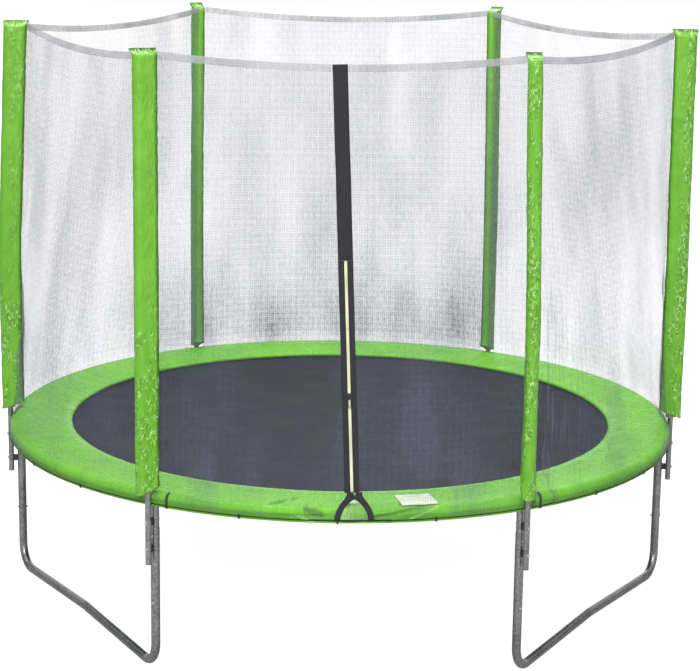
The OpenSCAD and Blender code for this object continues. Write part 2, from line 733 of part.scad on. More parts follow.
// The zip's slider straddles the coil: its cheeks stop just short of the tape.
module zip_slider() {
  slot_w = pull_w + 2 * slide_gap;
  tunnel_w = coil_w + 2 * slide_gap;
  tunnel_t = coil_t + slide_gap;
  color("#3a3a3c") on_entrance() translate([0, -strip_t, strip_at(slider_h)]) {
    difference() {
      translate([-slider_w / 2, -slider_t, -slider_len / 2])
        cube([slider_w, slider_t - slide_gap, slider_len]);
      translate([-tunnel_w / 2, -tunnel_t, -slider_len]) cube([tunnel_w, tunnel_t, 2 * slider_len]);
      translate([-slot_w / 2, -slider_t - 1, -slider_len])
        cube([slot_w, slider_t + 1 - tunnel_t - slider_floor, 2 * slider_len]);
    }
    translate([-slot_w / 2 - 0.5, -pin_out, 0]) rod_x(pull_pin_r, slot_w + 1);
  }
}

// The pull tab hangs from the pin between the slider's cheeks.
module zip_pull() {
  color("#3a3a3c") on_entrance() translate([0, -strip_t - pin_out, strip_at(slider_h)]) difference() {
    union() {
      translate([-pull_w / 2, 0, 0]) rod_x(pull_eye_r, pull_w);
      translate([-pull_w / 2, -pull_t / 2, -pull_len]) cube([pull_w, pull_t, pull_len]);
    }
    translate([-pull_w, 0, 0]) rod_x(pull_bore_r, 2 * pull_w);
    translate([0, pull_w, -pull_len + 6]) rotate([90, 0, 0]) cylinder(r = 2.2, h = 2 * pull_w);
  }
}

// ---------- Nodes ----------

module lift_ring() {
  translate([0, 0, ring_z]) children();
}

for (k = [1:pole_count]) {
  lift_ring() ring_segment(k);
  leg_post(k);
  pole_lower(k);
  pole_upper(k);
  pole_sleeve(k);
}
for (k = [1:leg_count])
  leg_base(k);
leg_bolts();
pole_caps();
pole_plugs();
clamp_spacers();
clamp_bolts();
pole_foam();
springs();
jump_mat();
mat_hem();
mat_rings();
mat_tabs();
safety_pad_cover();
pad_foam();
pad_straps();
pad_labels();
safety_net();
net_top_hem();
net_bottom_hem();
net_ties();
entrance_strip();
entrance_binding();
zip_tape();
zip_coil();
zip_slider();
zip_pull();
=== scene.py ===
"""The dressed trampoline: looks, soft pieces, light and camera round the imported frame."""

import json
import math

import bpy
import numpy as np
from mathutils import Matrix, Vector


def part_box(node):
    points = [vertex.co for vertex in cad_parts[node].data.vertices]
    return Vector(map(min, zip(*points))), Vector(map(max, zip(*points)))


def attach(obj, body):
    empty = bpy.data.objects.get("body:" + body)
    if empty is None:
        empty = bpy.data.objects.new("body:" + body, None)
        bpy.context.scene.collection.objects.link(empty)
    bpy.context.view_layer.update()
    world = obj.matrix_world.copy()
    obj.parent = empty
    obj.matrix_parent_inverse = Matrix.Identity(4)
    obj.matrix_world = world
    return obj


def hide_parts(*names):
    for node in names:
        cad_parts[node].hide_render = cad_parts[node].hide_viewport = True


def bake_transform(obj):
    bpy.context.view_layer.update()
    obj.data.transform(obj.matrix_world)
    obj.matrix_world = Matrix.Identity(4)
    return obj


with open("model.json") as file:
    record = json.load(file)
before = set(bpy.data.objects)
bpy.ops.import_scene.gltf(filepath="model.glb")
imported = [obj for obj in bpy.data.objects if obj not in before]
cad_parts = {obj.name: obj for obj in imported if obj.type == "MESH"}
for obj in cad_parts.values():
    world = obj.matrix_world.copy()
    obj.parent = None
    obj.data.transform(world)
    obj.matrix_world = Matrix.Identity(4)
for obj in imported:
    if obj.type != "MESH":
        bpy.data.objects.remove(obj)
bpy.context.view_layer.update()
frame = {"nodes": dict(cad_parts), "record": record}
nodes = frame["nodes"]

# ---------- Sizes, in metres, as the frame has them ----------

POLES = 6
POLE_PATH_R = 1.554
POLE_R = 0.0125
JOINT_Z = 1.520
POLE_TOP = 2.572
FOAM_R = 0.022
FOAM_TOP = 2.567
RING_R = 1.506
RING_Z = 0.742
TUBE_R = 0.019
GAP = 0.0004
SPRINGS = 54
SPRING_Z = 0.7535
HOOK_OUT_R = 1.487
HOOK_MAT_R = 1.337
MAT_R = 1.2969
MAT_TOP = 0.7549
EDGE_TOP = 0.7545
TAB_LEN = 0.025
PAD_IN_R = 1.250
PAD_OUT_R = 1.536
PAD_LOW = 0.7574
PAD_HIGH = 0.7655
PAD_TOP = 0.785
PAD_ROUND = 0.026
PAD_T = 0.018
PAD_MID_R = 1.4
SKIRT_IN_R = 1.526
SKIRT_T = 0.010
SKIRT_BOTTOM = 0.724
SLEEVE_W = 0.104
SLEEVE_T = 0.056
SLEEVE_R = SLEEVE_T / 2
SLEEVE_FLAT = SLEEVE_W - SLEEVE_T
SLEEVE_BOTTOM = 0.778
SLEEVE_TOP = 2.592
SLEEVE_SLANT = math.tan(math.radians(20))
SLEEVE_TURN = (180, 245, 290, 0, 32, 92)
# The side of each sleeve, along or across its width, that its top seam lies on.
SEAM_SIDE = ((0, -1), (-1, 0), (-1, 0), (0, 1), (0, 1), (1, 0))
# Which side of each sleeve, along x, is crushed into small facets, how much of it, and how much
# of its lower half all round; crushed places get raised facets, stress whitening with painted
# glints, and painted shade.
CRUSH_SIDE = (1, 1, 0, 1, 1, 0)
CRUSH_ALL = (1.0, 0.8, 0.5, 0.35, 0.3, 2.0)
CRUSH_LOW = (0.5, 0.2, 0.2, 0.6, 0.85, 0.6)
# The side of each sleeve, along x, that gets painted shade for lying in its own fold's shade.
SHADED_SIDE = (-1, -1, 1, 1, 1, 0)
SLEEVE_BACK = (0.42, 0.16, 0.16, 0.2, 0.52, 0.16)
FOAM_BOTTOM = (0.7824, 0.7874, 0.7874, 0.7874, 0.7874, 0.7874)
# How far each pole's top leans from the upright, as (x, y).
LEAN = ((-0.009, 0), (-0.012, 0), (0.008, 0), (0.045, 0), (0, 0), (-0.026, 0))
NET_R = 1.5404
NET_SIDE = 1.54
NET_LOW = 0.742
NET_HIGH = 2.580
NET_SAG = 0.044
NET_T = 0.0015
# Height over the foot up to which the net is round, and how it reaches the line between the
# sleeves beside them, as heights and shares.
NET_FOOT = 0.026
NET_BEND = ((0.034, 0.046, 0.062), (0, 0.42, 1))
# Where the net passes the poles, as its length round the trampoline.
NET_POLES = (0.0, 1.5325, 3.0741, 4.6, 6.1483, 7.6949, 9.2153)
HEM_H = 0.030
STRIP_W = 0.060
STRIP_T = 0.0016
STRIP_LIFT = 0.0013
ZIP_BOTTOM = 0.852
ZIP_TOP = 1.772
STRIP_LOW_X = 0.054
STRIP_TOP_X = -0.023
ARCH_R = 0.130
ARCH_HALF = 0.080
ARCH_TAPE = 0.024
ARCH_APEX = math.sqrt(ARCH_R ** 2 - (ARCH_R - ARCH_HALF) ** 2)
# The zip tape's lower end over the arch, as (x, height above the apex).
ARCH_TAB = ((0.018, 0.004), (0.0182, -0.002), (0.0190, -0.010), (0.0225, -0.019), (0.0275, -0.027),
            (0.033, -0.035), (0.0395, -0.043))
FRONT = 270
PAD_SEAMS = (262.0, 80.0, 120.0, 0.0, 180.0, 305.0)
STRAP_AT = [60 * k + 2.9 for k in range(POLES)]
TOP_IN = (PAD_IN_R + PAD_T / 2, PAD_LOW + PAD_T)
TOP_OUT = (PAD_OUT_R - PAD_ROUND, PAD_TOP)
# Folds at the pad's front, dented and given painted shade, then ridges, raised and given a painted
# highlight: bearings, heights as the camera sees them, and width.
FRONT_FOLDS = ((275.7, 284.9, 0.028, 0.070, 0.0045), (259.3, 263.3, 0.073, 0.092, 0.004),
               (264.9, 267.8, 0.055, 0.032, 0.014))
FRONT_RIDGES = ((280.7, 285.5, 0.010, 0.060, 0.004), (263.3, 266.4, 0.032, 0.005, 0.004))
# Bare patches on the pad: bearing, width, depth and start from the pad's inner edge.
PATCHES = ((-87.9, 0.060, 0.070, 0.130), (-77.2, 0.150, 0.150, 0.096))
UP = (0.0, 0.0, 1.0)
TOWARDS = (0.0, -1.0, 0.0)


# ---------- Points and smooth noise on arrays ----------

def on_circle(r, deg):
    a = np.radians(deg)
    return np.stack([r * np.cos(a), r * np.sin(a)], axis=-1)


def with_z(xy, z):
    """Points in space from places in plan and heights."""
    return np.concatenate([xy, np.broadcast_to(np.asarray(z, float)[..., None], xy.shape[:-1] + (1,))], -1)


def lengths(points, closed=False):
    """The length along a line up to each of its points."""
    points = np.vstack([points, points[:1]]) if closed else points
    return np.append(0, np.cumsum(np.linalg.norm(np.diff(points, axis=0), axis=1)))


def lattice(ix, iy, seed):
    h = (ix.astype(np.int64) * 374761393 + iy.astype(np.int64) * 668265263 + seed * 974634777) & 0x7FFFFFFF
    h = ((h ^ (h >> 13)) * 1274126177) & 0x7FFFFFFF
    return ((h ^ (h >> 16)) & 0xFFFF) / 32767.5 - 1.0


def noise(x, y, seed, wrap=0):
    """Value noise from -1 to 1; wrap is the whole number of cells after which x repeats."""
    x, y = np.broadcast_arrays(np.asarray(x, float), np.asarray(y, float))
    x0, y0 = np.floor(x), np.floor(y)
    sx, sy = smooth(x - x0), smooth(y - y0)

    def at(i, j):
        ix = np.mod(x0 + i, wrap) if wrap else x0 + i
        return lattice(ix, y0 + j, seed)

    low = at(0, 0) + (at(1, 0) - at(0, 0)) * sx
    high = at(0, 1) + (at(1, 1) - at(0, 1)) * sx
    return low + (high - low) * sy


def fbm(x, y, seed, octaves=3, wrap=0):
    total = 0
    for o in range(octaves):
        f = 2 ** o
        total = total + noise(np.asarray(x) * f, np.asarray(y) * f, seed + o, wrap * f) / f
    return total / 1.75


def crease(x, y, seed, sharp=3.0, wrap=0):
    """Thin ridges, near 1 on the ridge and 0 elsewhere."""
    return np.clip(1 - sharp * np.abs(noise(x, y, seed, wrap)), 0, 1)


def smooth(x):
    x = np.clip(x, 0, 1)
    return x * x * (3 - 2 * x)


# ---------- Meshes ----------

def add_mesh(name, verts, faces, uv, paint, body="frame"):
    mesh = bpy.data.meshes.new(name)
    mesh.from_pydata(np.asarray(verts, float).reshape(-1, 3).tolist(), [], [list(map(int, f)) for f in faces])
    mesh.uv_layers.new(name="UVMap").data.foreach_set("uv", np.asarray(uv, np.float32).reshape(-1))
    mesh.polygons.foreach_set("use_smooth", [True] * len(mesh.polygons))
    mesh.update()
    obj = bpy.data.objects.new(name, mesh)
    bpy.context.scene.collection.objects.link(obj)
    mesh.materials.append(paint)
    if body:
        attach(obj, body)
    return obj


def grid_faces(nv, nu, wrap_u=False, wrap_v=False, start=0, flip=False):
    """Quads over a grid of nv rows and nu columns, with the row and column of each corner."""
    rows = np.arange(nv if wrap_v else nv - 1)
    cols = np.arange(nu if wrap_u else nu - 1)
    j, i = np.meshgrid(rows, cols, indexing="ij")
    corners = [(j, i), (j, i + 1), (j + 1, i + 1), (j + 1, i)]
    if flip:
        corners = corners[::-1]
    faces = np.stack([start + (a % nv) * nu + (b % nu) for a, b in corners], axis=-1).reshape(-1, 4)
    where = np.stack([np.stack([a, b], -1) for a, b in corners], axis=-2).reshape(-1, 2)
    return faces, where


def grid(name, points, us, vs, wrap_u=False, wrap_v=False, flip=False, **kw):
    """A surface over points[row][column]; us and vs are the texture places in metres."""
    nv, nu = points.shape[:2]
    faces, where = grid_faces(nv, nu, wrap_u, wrap_v, flip=flip)
    row, col = where.T
    us, vs = np.asarray(us, float), np.asarray(vs, float)
    if vs.ndim == 1:
        vs = np.broadcast_to(vs[:, None], (len(vs), nu + wrap_u))
    return add_mesh(name, points, faces, np.stack([us[col], vs[row, col]], -1), **kw)


def joined(name, parts, **kw):
    """One mesh from several (verts, faces, uv) triples."""
    verts, faces, uvs, base = [], [], [], 0
    for v, f, u in parts:
        verts.append(np.asarray(v, float).reshape(-1, 3))
        faces += [[int(a) + base for a in face] for face in f]
        uvs.append(u)
        base += len(verts[-1])
    return add_mesh(name, np.concatenate(verts), faces, np.concatenate(uvs), **kw)


def sweep(path, across, out, section, closed=False):
    """(verts, faces, uv) of a section of (across, out) points carried along a path."""
    path = np.asarray(path, float)
    across, out = (np.broadcast_to(a, path.shape)[:, None] for a in (across, out))
    section = np.broadcast_to(section, (len(path),) + section.shape[-2:])
    n, m = section.shape[:2]
    pts = path[:, None] + section[..., :1] * across + section[..., 1:] * out
    faces, where = grid_faces(n, m, wrap_u=True, wrap_v=closed, flip=True)
    along, around = lengths(path, closed), lengths(section[0], True)
    uv = np.stack([around[where[:, 1]], along[where[:, 0]]], -1)
    faces = faces.tolist()
    if not closed:
        faces += [list(range(m)), [(n - 1) * m + i for i in range(m)][::-1]]
        uv = np.concatenate([uv, np.zeros((2 * m, 2))])
    return pts.reshape(-1, 3), faces, uv


def moved(part, place):
    """A (verts, faces, uv) triple after a 4 x 4 matrix."""
    return part[0] @ place[:3, :3].T + place[:3, 3], part[1], part[2]


def flat_section(width, thick, crown=0.0, steps=6):
    """A webbing's section, as (across, out) with its back at out = 0."""
    e = min(thick * 0.4, width * 0.1)
    xs = np.linspace(-width / 2 + e, width / 2 - e, steps)
    top = [(x, thick + crown * (1 - (2 * x / width) ** 2)) for x in xs]
    sides = [(width / 2, thick - e), (width / 2, e)]
    bottom = [(x, 0.0) for x in xs[::-1]]
    back = [(-width / 2, e), (-width / 2, thick - e)]
    return np.array(top + sides + bottom + back)


def round_section(r, sides=8):
    a = np.linspace(0, 2 * np.pi, sides, endpoint=False)
    return np.stack([r * np.cos(a), r * np.sin(a)], -1)


def tangents(path):
    tangent = np.gradient(path, axis=0)
    return tangent / np.linalg.norm(tangent, axis=1)[:, None]


def frames_of(path, hint):
    """Two unit vectors square to a path, the second as near to hint as it can be."""
    tangent = tangents(path)
    hint = np.broadcast_to(np.asarray(hint, float), path.shape)
    out = hint - (hint * tangent).sum(1)[:, None] * tangent
    out /= np.linalg.norm(out, axis=1)[:, None]
    return np.cross(out, tangent), out


def band_at(deg, rz, section, turn=1):
    """A webbing through (radius, height) points in the upright plane at one bearing."""
    r, z = np.array(rz).T
    path = with_z(r[:, None] * on_circle(1, deg), z)
    side = np.broadcast_to(np.append(on_circle(1, deg + 90), 0), path.shape)
    return sweep(path, turn * side, np.cross(tangents(path), side), section)


# ---------- Materials ----------

def _math(op, swapped=False):
    return lambda self, *other: self.nodes.math(op, *(other + (self,) if swapped else (self,) + other))


class Value:
    """What a node gives out, with arithmetic that adds math nodes."""

    def __init__(self, nodes, socket):
        self.nodes, self.socket = nodes, socket

    __add__, __sub__, __mul__ = _math("ADD"), _math("SUBTRACT"), _math("MULTIPLY")
    __truediv__, __abs__, __rsub__ = _math("DIVIDE"), _math("ABSOLUTE"), _math("SUBTRACT", True)

    def clamp(self):
        self.socket.node.use_clamp = True
        return self


class Nodes:
    """Builds one node tree; a node's inputs are given in their order or by name."""

    def __init__(self, tree):
        self.tree = tree
        tree.nodes.clear()

    def node(self, kind, *values, props=(), **inputs):
        n = self.tree.nodes.new("ShaderNode" + kind)
        for key, value in dict(props).items():
            setattr(n, key, value)
        named = [(n.inputs[key.replace("_", " ")], value) for key, value in inputs.items()]
        self.put([*zip(n.inputs, values), *named])
        return n

    def put(self, pairs):
        for socket, value in pairs:
            if isinstance(value, Value):
                self.tree.links.new(value.socket, socket)
            else:
                socket.default_value = rgba(value) if socket.type == "RGBA" else value

    def value(self, kind, *values, output=0, props=(), **inputs):
        return Value(self, self.node(kind, *values, props=props, **inputs).outputs[output])

    def math(self, op, *values):
        return self.value("Math", *values, props={"operation": op})

    def mix(self, fac, a, b):
        n = self.node("Mix", props={"data_type": "RGBA"})
        self.put([(n.inputs[0], fac), (n.inputs[6], a), (n.inputs[7], b)])
        return Value(self, n.outputs[2])

    def ramp(self, value, low, high, out_low=0.0, out_high=1.0):
        smoothly = {"interpolation_type": "SMOOTHSTEP"}
        return self.value("MapRange", value, low, high, out_low, out_high, props=smoothly)

    def split(self, where):
        return [Value(self, s) for s in self.node("SeparateXYZ", where).outputs]


class Paint(Nodes):
    """Builds one material."""

    def __init__(self, name):
        self.mat = bpy.data.materials.new(name)
        self.mat.use_nodes = True
        super().__init__(self.mat.node_tree)

    def coords(self, kind="UV", scale=(1, 1, 1), turn=0.0):
        source = self.value("TexCoord", output=kind)
        return self.value("Mapping", Vector=source, Scale=scale, Rotation=(0, 0, turn))

    def noise(self, where, scale, detail=2.0, rough=0.5):
        return self.value("TexNoise", Vector=where, Scale=scale, Detail=detail, Roughness=rough)

    def cells(self, where, scale, feature="F1"):
        return self.value("TexVoronoi", props={"feature": feature}, Vector=where, Scale=scale)

    def waves(self, c, pitch=1.0):
        """Round ribs at a pitch, from 0 to 1."""
        return abs(self.math("SINE", c * (math.pi / pitch)))

    def weave(self, where, pitch):
        """Height of a plain weave of flat tapes, from 0 to 1."""
        x, y = (c / pitch for c in self.split(where)[:2])
        odd = self.math("FLOORED_MODULO", self.math("FLOOR", x) + self.math("FLOOR", y), 2.0)
        return self.waves(x) * odd + self.waves(y) * (1.0 - odd)

    def bump(self, height, distance, strength):
        return self.value("Bump", Height=height, Distance=distance, Strength=strength)

    def finish(self, color, rough, normal, **extra):
        shader = self.value("BsdfPrincipled", Base_Color=color, Roughness=rough, Normal=normal, **extra)
        self.node("OutputMaterial", Surface=shader)
        return self.mat


def rgba(c):
    return tuple(c) + (1.0,) if len(c) == 3 else tuple(c)


def shade(c, f):
    return tuple(min(1.0, v * f) for v in c)


def galvanised():
    p = Paint("galvanised_tube")
    where = p.coords("Object")
    spangle = p.value("TexVoronoi", output="Color", Vector=where, Scale=120.0)
    grain = p.value("RGBToBW", Color=spangle)
    cloud = p.noise(where, 9.0, 4.0, 0.6)
    fine = p.noise(p.coords("Object", (1, 1, 0.15)), 900.0)
    color = p.mix(p.ramp(grain * 0.45 + cloud * 0.6, 0.2, 0.85), (0.2, 0.202, 0.208), (0.42, 0.422, 0.43))
    rough = p.ramp(grain * 0.3 + cloud, 0.3, 0.9, 0.24, 0.36)
    return p.finish(color, rough, p.bump(grain * 0.4 + fine * 0.6, 0.0003, 0.35), Metallic=0.92)


def zinc():
    p = Paint("zinc_plated")
    where = p.coords("Object")
    cloud = p.noise(where, 60.0, 3.0)
    color = p.mix(cloud, (0.55, 0.56, 0.58), (0.74, 0.74, 0.75))
    normal = p.bump(p.noise(where, 1400.0, 1.0), 0.0001, 0.3)
    return p.finish(color, p.ramp(cloud, 0.3, 0.7, 0.2, 0.34), normal, Metallic=1.0)


def black_plastic():
    p = Paint("black_plastic")
    where = p.coords("Object")
    cloud = p.noise(where, 50.0, 3.0)
    color = p.mix(cloud, (0.016, 0.016, 0.018), (0.035, 0.035, 0.037))
    return p.finish(color, p.ramp(cloud, 0.3, 0.7, 0.38, 0.52), p.bump(p.noise(where, 1500.0), 0.0002, 0.4))


def foam(name, base):
    p = Paint(name)
    where = p.coords("Object")
    color = p.mix(p.noise(where, 40.0, 3.0), shade(base, 0.8), shade(base, 1.15))
    return p.finish(color, 0.85, p.bump(p.cells(where, 700.0, "SMOOTH_F1"), 0.0006, 0.6))


def tarpaulin(name, low, high, relief=1.0, pleats=0.0, gloss=0.38):
    """Satin woven polyethylene. The crush attribute says how far a place is crushed into small
    facets, whose whitened edges are partly stress whitening and partly painted glints and whose
    darkened edges and faces are painted shade; shaded is painted shade for how deep a place lies
    in a fold, and lit a painted highlight for how far it catches the light; pleats is the depth of
    fine creases along the texture's y, which also get painted shade."""
    p = Paint(name)
    where = p.coords()
    crushed, shaded, lit = (p.value("Attribute", output="Fac", props={"attribute_name": name})
                            for name in ("crush", "shaded", "lit"))
    tapes = p.weave(where, 0.0017)
    cloud = p.noise(where, 7.0, 3.0, 0.55)
    crinkle = p.noise(p.coords(scale=(1, 0.6, 1), turn=0.5), 30.0)
    facets = p.cells(p.coords(scale=(2.2, 1.0, 1), turn=0.7), 36.0)
    small = p.cells(p.coords(scale=(1.0, 1.7, 1), turn=-0.4), 75.0)
    facets = (facets + small * 0.35) * crushed
    white, dark = 0.0, 0.0
    # bright strokes: partly stress whitening, partly painted glints; dark strokes beside them: painted shade
    for turn, size in ((0.75, 15.0), (-0.6, 19.0)):
        edge = p.cells(p.coords(scale=(2.6, 1.0, 1), turn=turn), size, "DISTANCE_TO_EDGE")
        patch = p.ramp(p.noise(p.coords(scale=(1.5, 1, 1), turn=turn), 42.0, 1.0), 0.47, 0.56)
        white = p.math("MAXIMUM", white, (1.0 - edge * 16.0).clamp() * patch)
        dark = p.math("MAXIMUM", dark, (1.0 - edge * 6.0).clamp() * (1.0 - patch))
    seen = p.ramp(crushed, 0.1, 0.6)
    green = p.mix(p.ramp(cloud, 0.3, 0.7), low, high)
    green = p.mix(tapes * 0.06, green, shade(high, 1.2))
    # painted shade: darker crushed facets, folds by the shaded attribute, and beside the bright strokes
    green = p.mix(p.ramp(facets, 0.5, 0.1) * (crushed * 0.3), green, shade(low, 0.45))
    green = p.mix(shaded * 0.72, green, shade(low, 0.22))
    green = p.mix((dark * (seen * 0.55)).clamp(), green, shade(low, 0.4))
    # stress whitening and painted glints on the bright strokes
    color = p.mix((white * seen).clamp() * 0.8, green, (0.58, 0.92, 0.34))
    # painted highlight where the lit attribute is set
    color = p.mix(lit * 0.8, color, (0.5, 0.88, 0.3))
    height = tapes * 0.05 + crinkle * (0.6 * relief) + facets * 2.4
    if pleats:
        fine = p.noise(p.coords(scale=(1, 0.07, 1)), 85.0)
        fine = (1.0 - abs(fine - 0.5) * 15.0).clamp()
        height = height - fine * pleats
        # painted shade along the fine creases
        color = p.mix(fine * 0.22, color, shade(low, 0.5))
    rough = p.ramp(crinkle, 0.3, 0.7, 0.24, 0.36)
    return p.finish(color, rough, p.bump(height, 0.0022, 0.7), Specular_IOR_Level=gloss)


def mat_cloth():
    p = Paint("mat_fabric")
    where = p.coords()
    yarn = p.weave(where, 0.0016)
    cloud = p.noise(where, 5.0, 4.0, 0.6)
    color = p.mix(p.ramp(cloud, 0.25, 0.75), (0.006, 0.0068, 0.011), (0.014, 0.0155, 0.023))
    color = p.mix(yarn * 0.35, color, (0.02, 0.022, 0.032))
    height = yarn + p.waves(p.split(where)[0], 0.012) * 0.15
    rough = p.ramp(cloud, 0.3, 0.7, 0.55, 0.7)
    return p.finish(color, rough, p.bump(height, 0.0008, 0.5), Specular_IOR_Level=0.22)


def webbing(name, base, pitch=0.0016):
    p = Paint(name)
    where = p.coords()
    ribs = p.waves(p.split(where)[1], pitch)
    cloud = p.noise(where, 20.0, 3.0)
    color = p.mix(p.ramp(cloud, 0.25, 0.75), shade(base, 0.75), shade(base, 1.3))
    color = p.mix(ribs * 0.4, color, shade(base, 2.0))
    height = ribs + p.weave(where, pitch * 0.5) * 0.5 + p.noise(where, 900.0) * 0.4
    return p.finish(color, 0.7, p.bump(height, 0.0006, 0.7))


def mesh_cloth(name, base, pitch, thread, streak, bands=0.0, gathers=()):
    """Knitted net: threads on an open grid, closer in loose folds. Its texture's x is the length
    round the trampoline; gathers are (place, signed reach, depth) of bunches of pleats."""
    p = Paint(name)
    where = p.coords()
    x, y, _ = p.split(where)
    lines = p.noise(p.coords(scale=(1, 0.2, 1)), 130.0, 3.0, 0.6)
    thick = p.ramp(lines, 0.3, 0.7, 1.0 - streak, 1.0 + streak)
    for every, share in ((0.0105, 0.14), (0.031, 0.07)):
        for c in (x, y):
            wave = p.math("SINE", c * (2 * math.pi / every))
            thick = thick * p.math("MULTIPLY_ADD", wave, share, 1.0)
    if bands:
        for turn, size, low, high in ((0.62, 2.3, 0.44, 0.56), (-0.5, 1.7, 0.45, 0.60),
                                      (0.9, 5.0, 0.42, 0.66)):
            fold = p.noise(p.coords(scale=(1, 0.32, 1), turn=turn), size, 2.0, 0.45)
            thick = thick * p.ramp(fold, low, high, 1.0 - bands, 1.0 + bands)
    if gathers:
        gather = 0.0
        for at, reach, share in gathers:
            off = (x - at) / reach
            bunch = p.ramp(off, 0.06, 1.0, share, 0.0) * p.math("GREATER_THAN", off, -0.03)
            gather = p.math("MAXIMUM", gather, bunch)
        gather = gather * p.ramp(y, 1.15, 2.1, 1.0, 0.12)
        pleats = p.ramp(p.noise(p.coords(scale=(1, 0.05, 1)), 62.0, 2.0, 0.6), 0.49, 0.64, -0.25, 3.2)
        thick = thick * p.math("MULTIPLY_ADD", pleats, gather, 1.0)
        # closer over the pad, but thin at the very foot, and closest on the far side
        thick = thick * p.ramp(y, 0.9, 1.45, 1.4, 1.0)
        thick = thick * p.ramp(y, NET_LOW + 0.02, NET_LOW + 0.12, 0.65, 1.0)
        far = p.math("LESS_THAN", abs(x - (NET_POLES[1] + NET_POLES[2]) / 2), 0.78)
        thick = thick * (far * p.ramp(y, 0.8, 1.7, 0.8, 0.0) + 1.0)
    # open beside the two far sleeves
    for at in (NET_POLES[1] - 0.008, NET_POLES[2] + 0.008):
        thick = thick * p.ramp(abs(x - at), 0.016, 0.020, 0.1, 1.0)
    thick = thick * (thread / pitch)

    def cover(c, spread):
        return p.math("LESS_THAN", p.math("PINGPONG", c / pitch, 0.5), thick * (0.5 * spread))

    # half threads that the camera can tell apart, half their average
    alpha = p.math("MULTIPLY_ADD", p.math("MAXIMUM", cover(x, 1.15), cover(y, 0.85)), 0.5, thick * 0.95)
    color = p.mix(p.noise(where, 4.0, 3.0), shade(base, 0.93), shade(base, 1.07))
    return p.finish(color, 0.6, p.bump(lines, 0.0004, 0.3), Alpha=alpha, Specular_IOR_Level=0.2)


def plain(name, base, rough, scale=300.0, metallic=0.0):
    p = Paint(name)
    where = p.coords("Object")
    cloud = p.noise(where, scale / 20, 3.0)
    color = p.mix(p.ramp(cloud, 0.3, 0.7), shade(base, 0.88), shade(base, 1.1))
    normal = p.bump(p.noise(where, scale, 3.0), 0.0003, 0.35)
    return p.finish(color, p.ramp(cloud, 0.3, 0.7, rough - 0.06, rough + 0.08), normal, Metallic=metallic)


STEEL = galvanised()
ZINC = zinc()
PLASTIC = black_plastic()
GREY_FOAM = foam("grey_foam", (0.3, 0.31, 0.33))
WHITE_FOAM = foam("white_foam", (0.72, 0.72, 0.71))
# the pad's green is the sleeves' cover made brighter: painted light standing in for light on its top
PAD_GREEN = tarpaulin("green_cover_pad", (0.19, 0.64, 0.014), (0.235, 0.73, 0.024), 0.35, 0.5, 0.22)
SLEEVE_GREEN = tarpaulin("green_cover_sleeve", (0.15, 0.44, 0.03), (0.195, 0.525, 0.045), 0.8)
# the welded fin's darker green is painted shade along the seam
SEAM_SHADE_GREEN = tarpaulin("green_seam_painted_shade", (0.05, 0.16, 0.012), (0.08, 0.24, 0.02))
MAT_CLOTH = mat_cloth()
WEBBING = webbing("black_webbing", (0.016, 0.016, 0.018))
STRIP_WEB = webbing("strip_webbing", (0.014, 0.014, 0.018))
NET = mesh_cloth("net_mesh", (0.135, 0.145, 0.205), 0.0035, 0.00045, 0.2, 0.17,
                 ((NET_POLES[3], 0.42, 0.9), (NET_POLES[5], 0.45, 0.55), (NET_POLES[6], -0.26, 1.3)))
HEM = mesh_cloth("white_hem", (0.45, 0.45, 0.475), 0.0035, 0.00095, 0.35, 0.1)
COIL = plain("zip_coil", (0.95, 0.95, 0.66), 0.4)
GUSSET = mesh_cloth("gusset", (0.6, 0.85, 0.36), 0.0035, 0.0008, 0.8, 0.4)
ZIP_METAL = plain("zip_metal", (0.03, 0.03, 0.033), 0.35, metallic=0.6)
PATCH = plain("patch", (0.85, 1.0, 0.7), 0.3, 120.0)

PAINTS = {
    "galvanised_tube": STEEL, "zinc_plated": ZINC, "black_plastic": PLASTIC, "grey_foam": GREY_FOAM,
    "white_foam": WHITE_FOAM, "green_cover": SLEEVE_GREEN, "mat_fabric": MAT_CLOTH, "black_webbing": WEBBING,
    "patch": PATCH, "net_mesh": NET, "white_hem": HEM, "zip_coil": COIL, "zip_metal": ZIP_METAL,
}
# The slot that each material of this script stands for.
SLOTS = {paint.name: slot for slot, paint in PAINTS.items()}
SLOTS.update({PAD_GREEN.name: "green_cover", STRIP_WEB.name: "black_webbing", GUSSET.name: "white_hem"})
for part in frame["record"]["subparts"]:
    mesh = nodes[part["node"]].data
    mesh.materials.clear()
    mesh.materials.append(PAINTS[part["material_slot"]])


# ---------- Camera, light, floor ----------

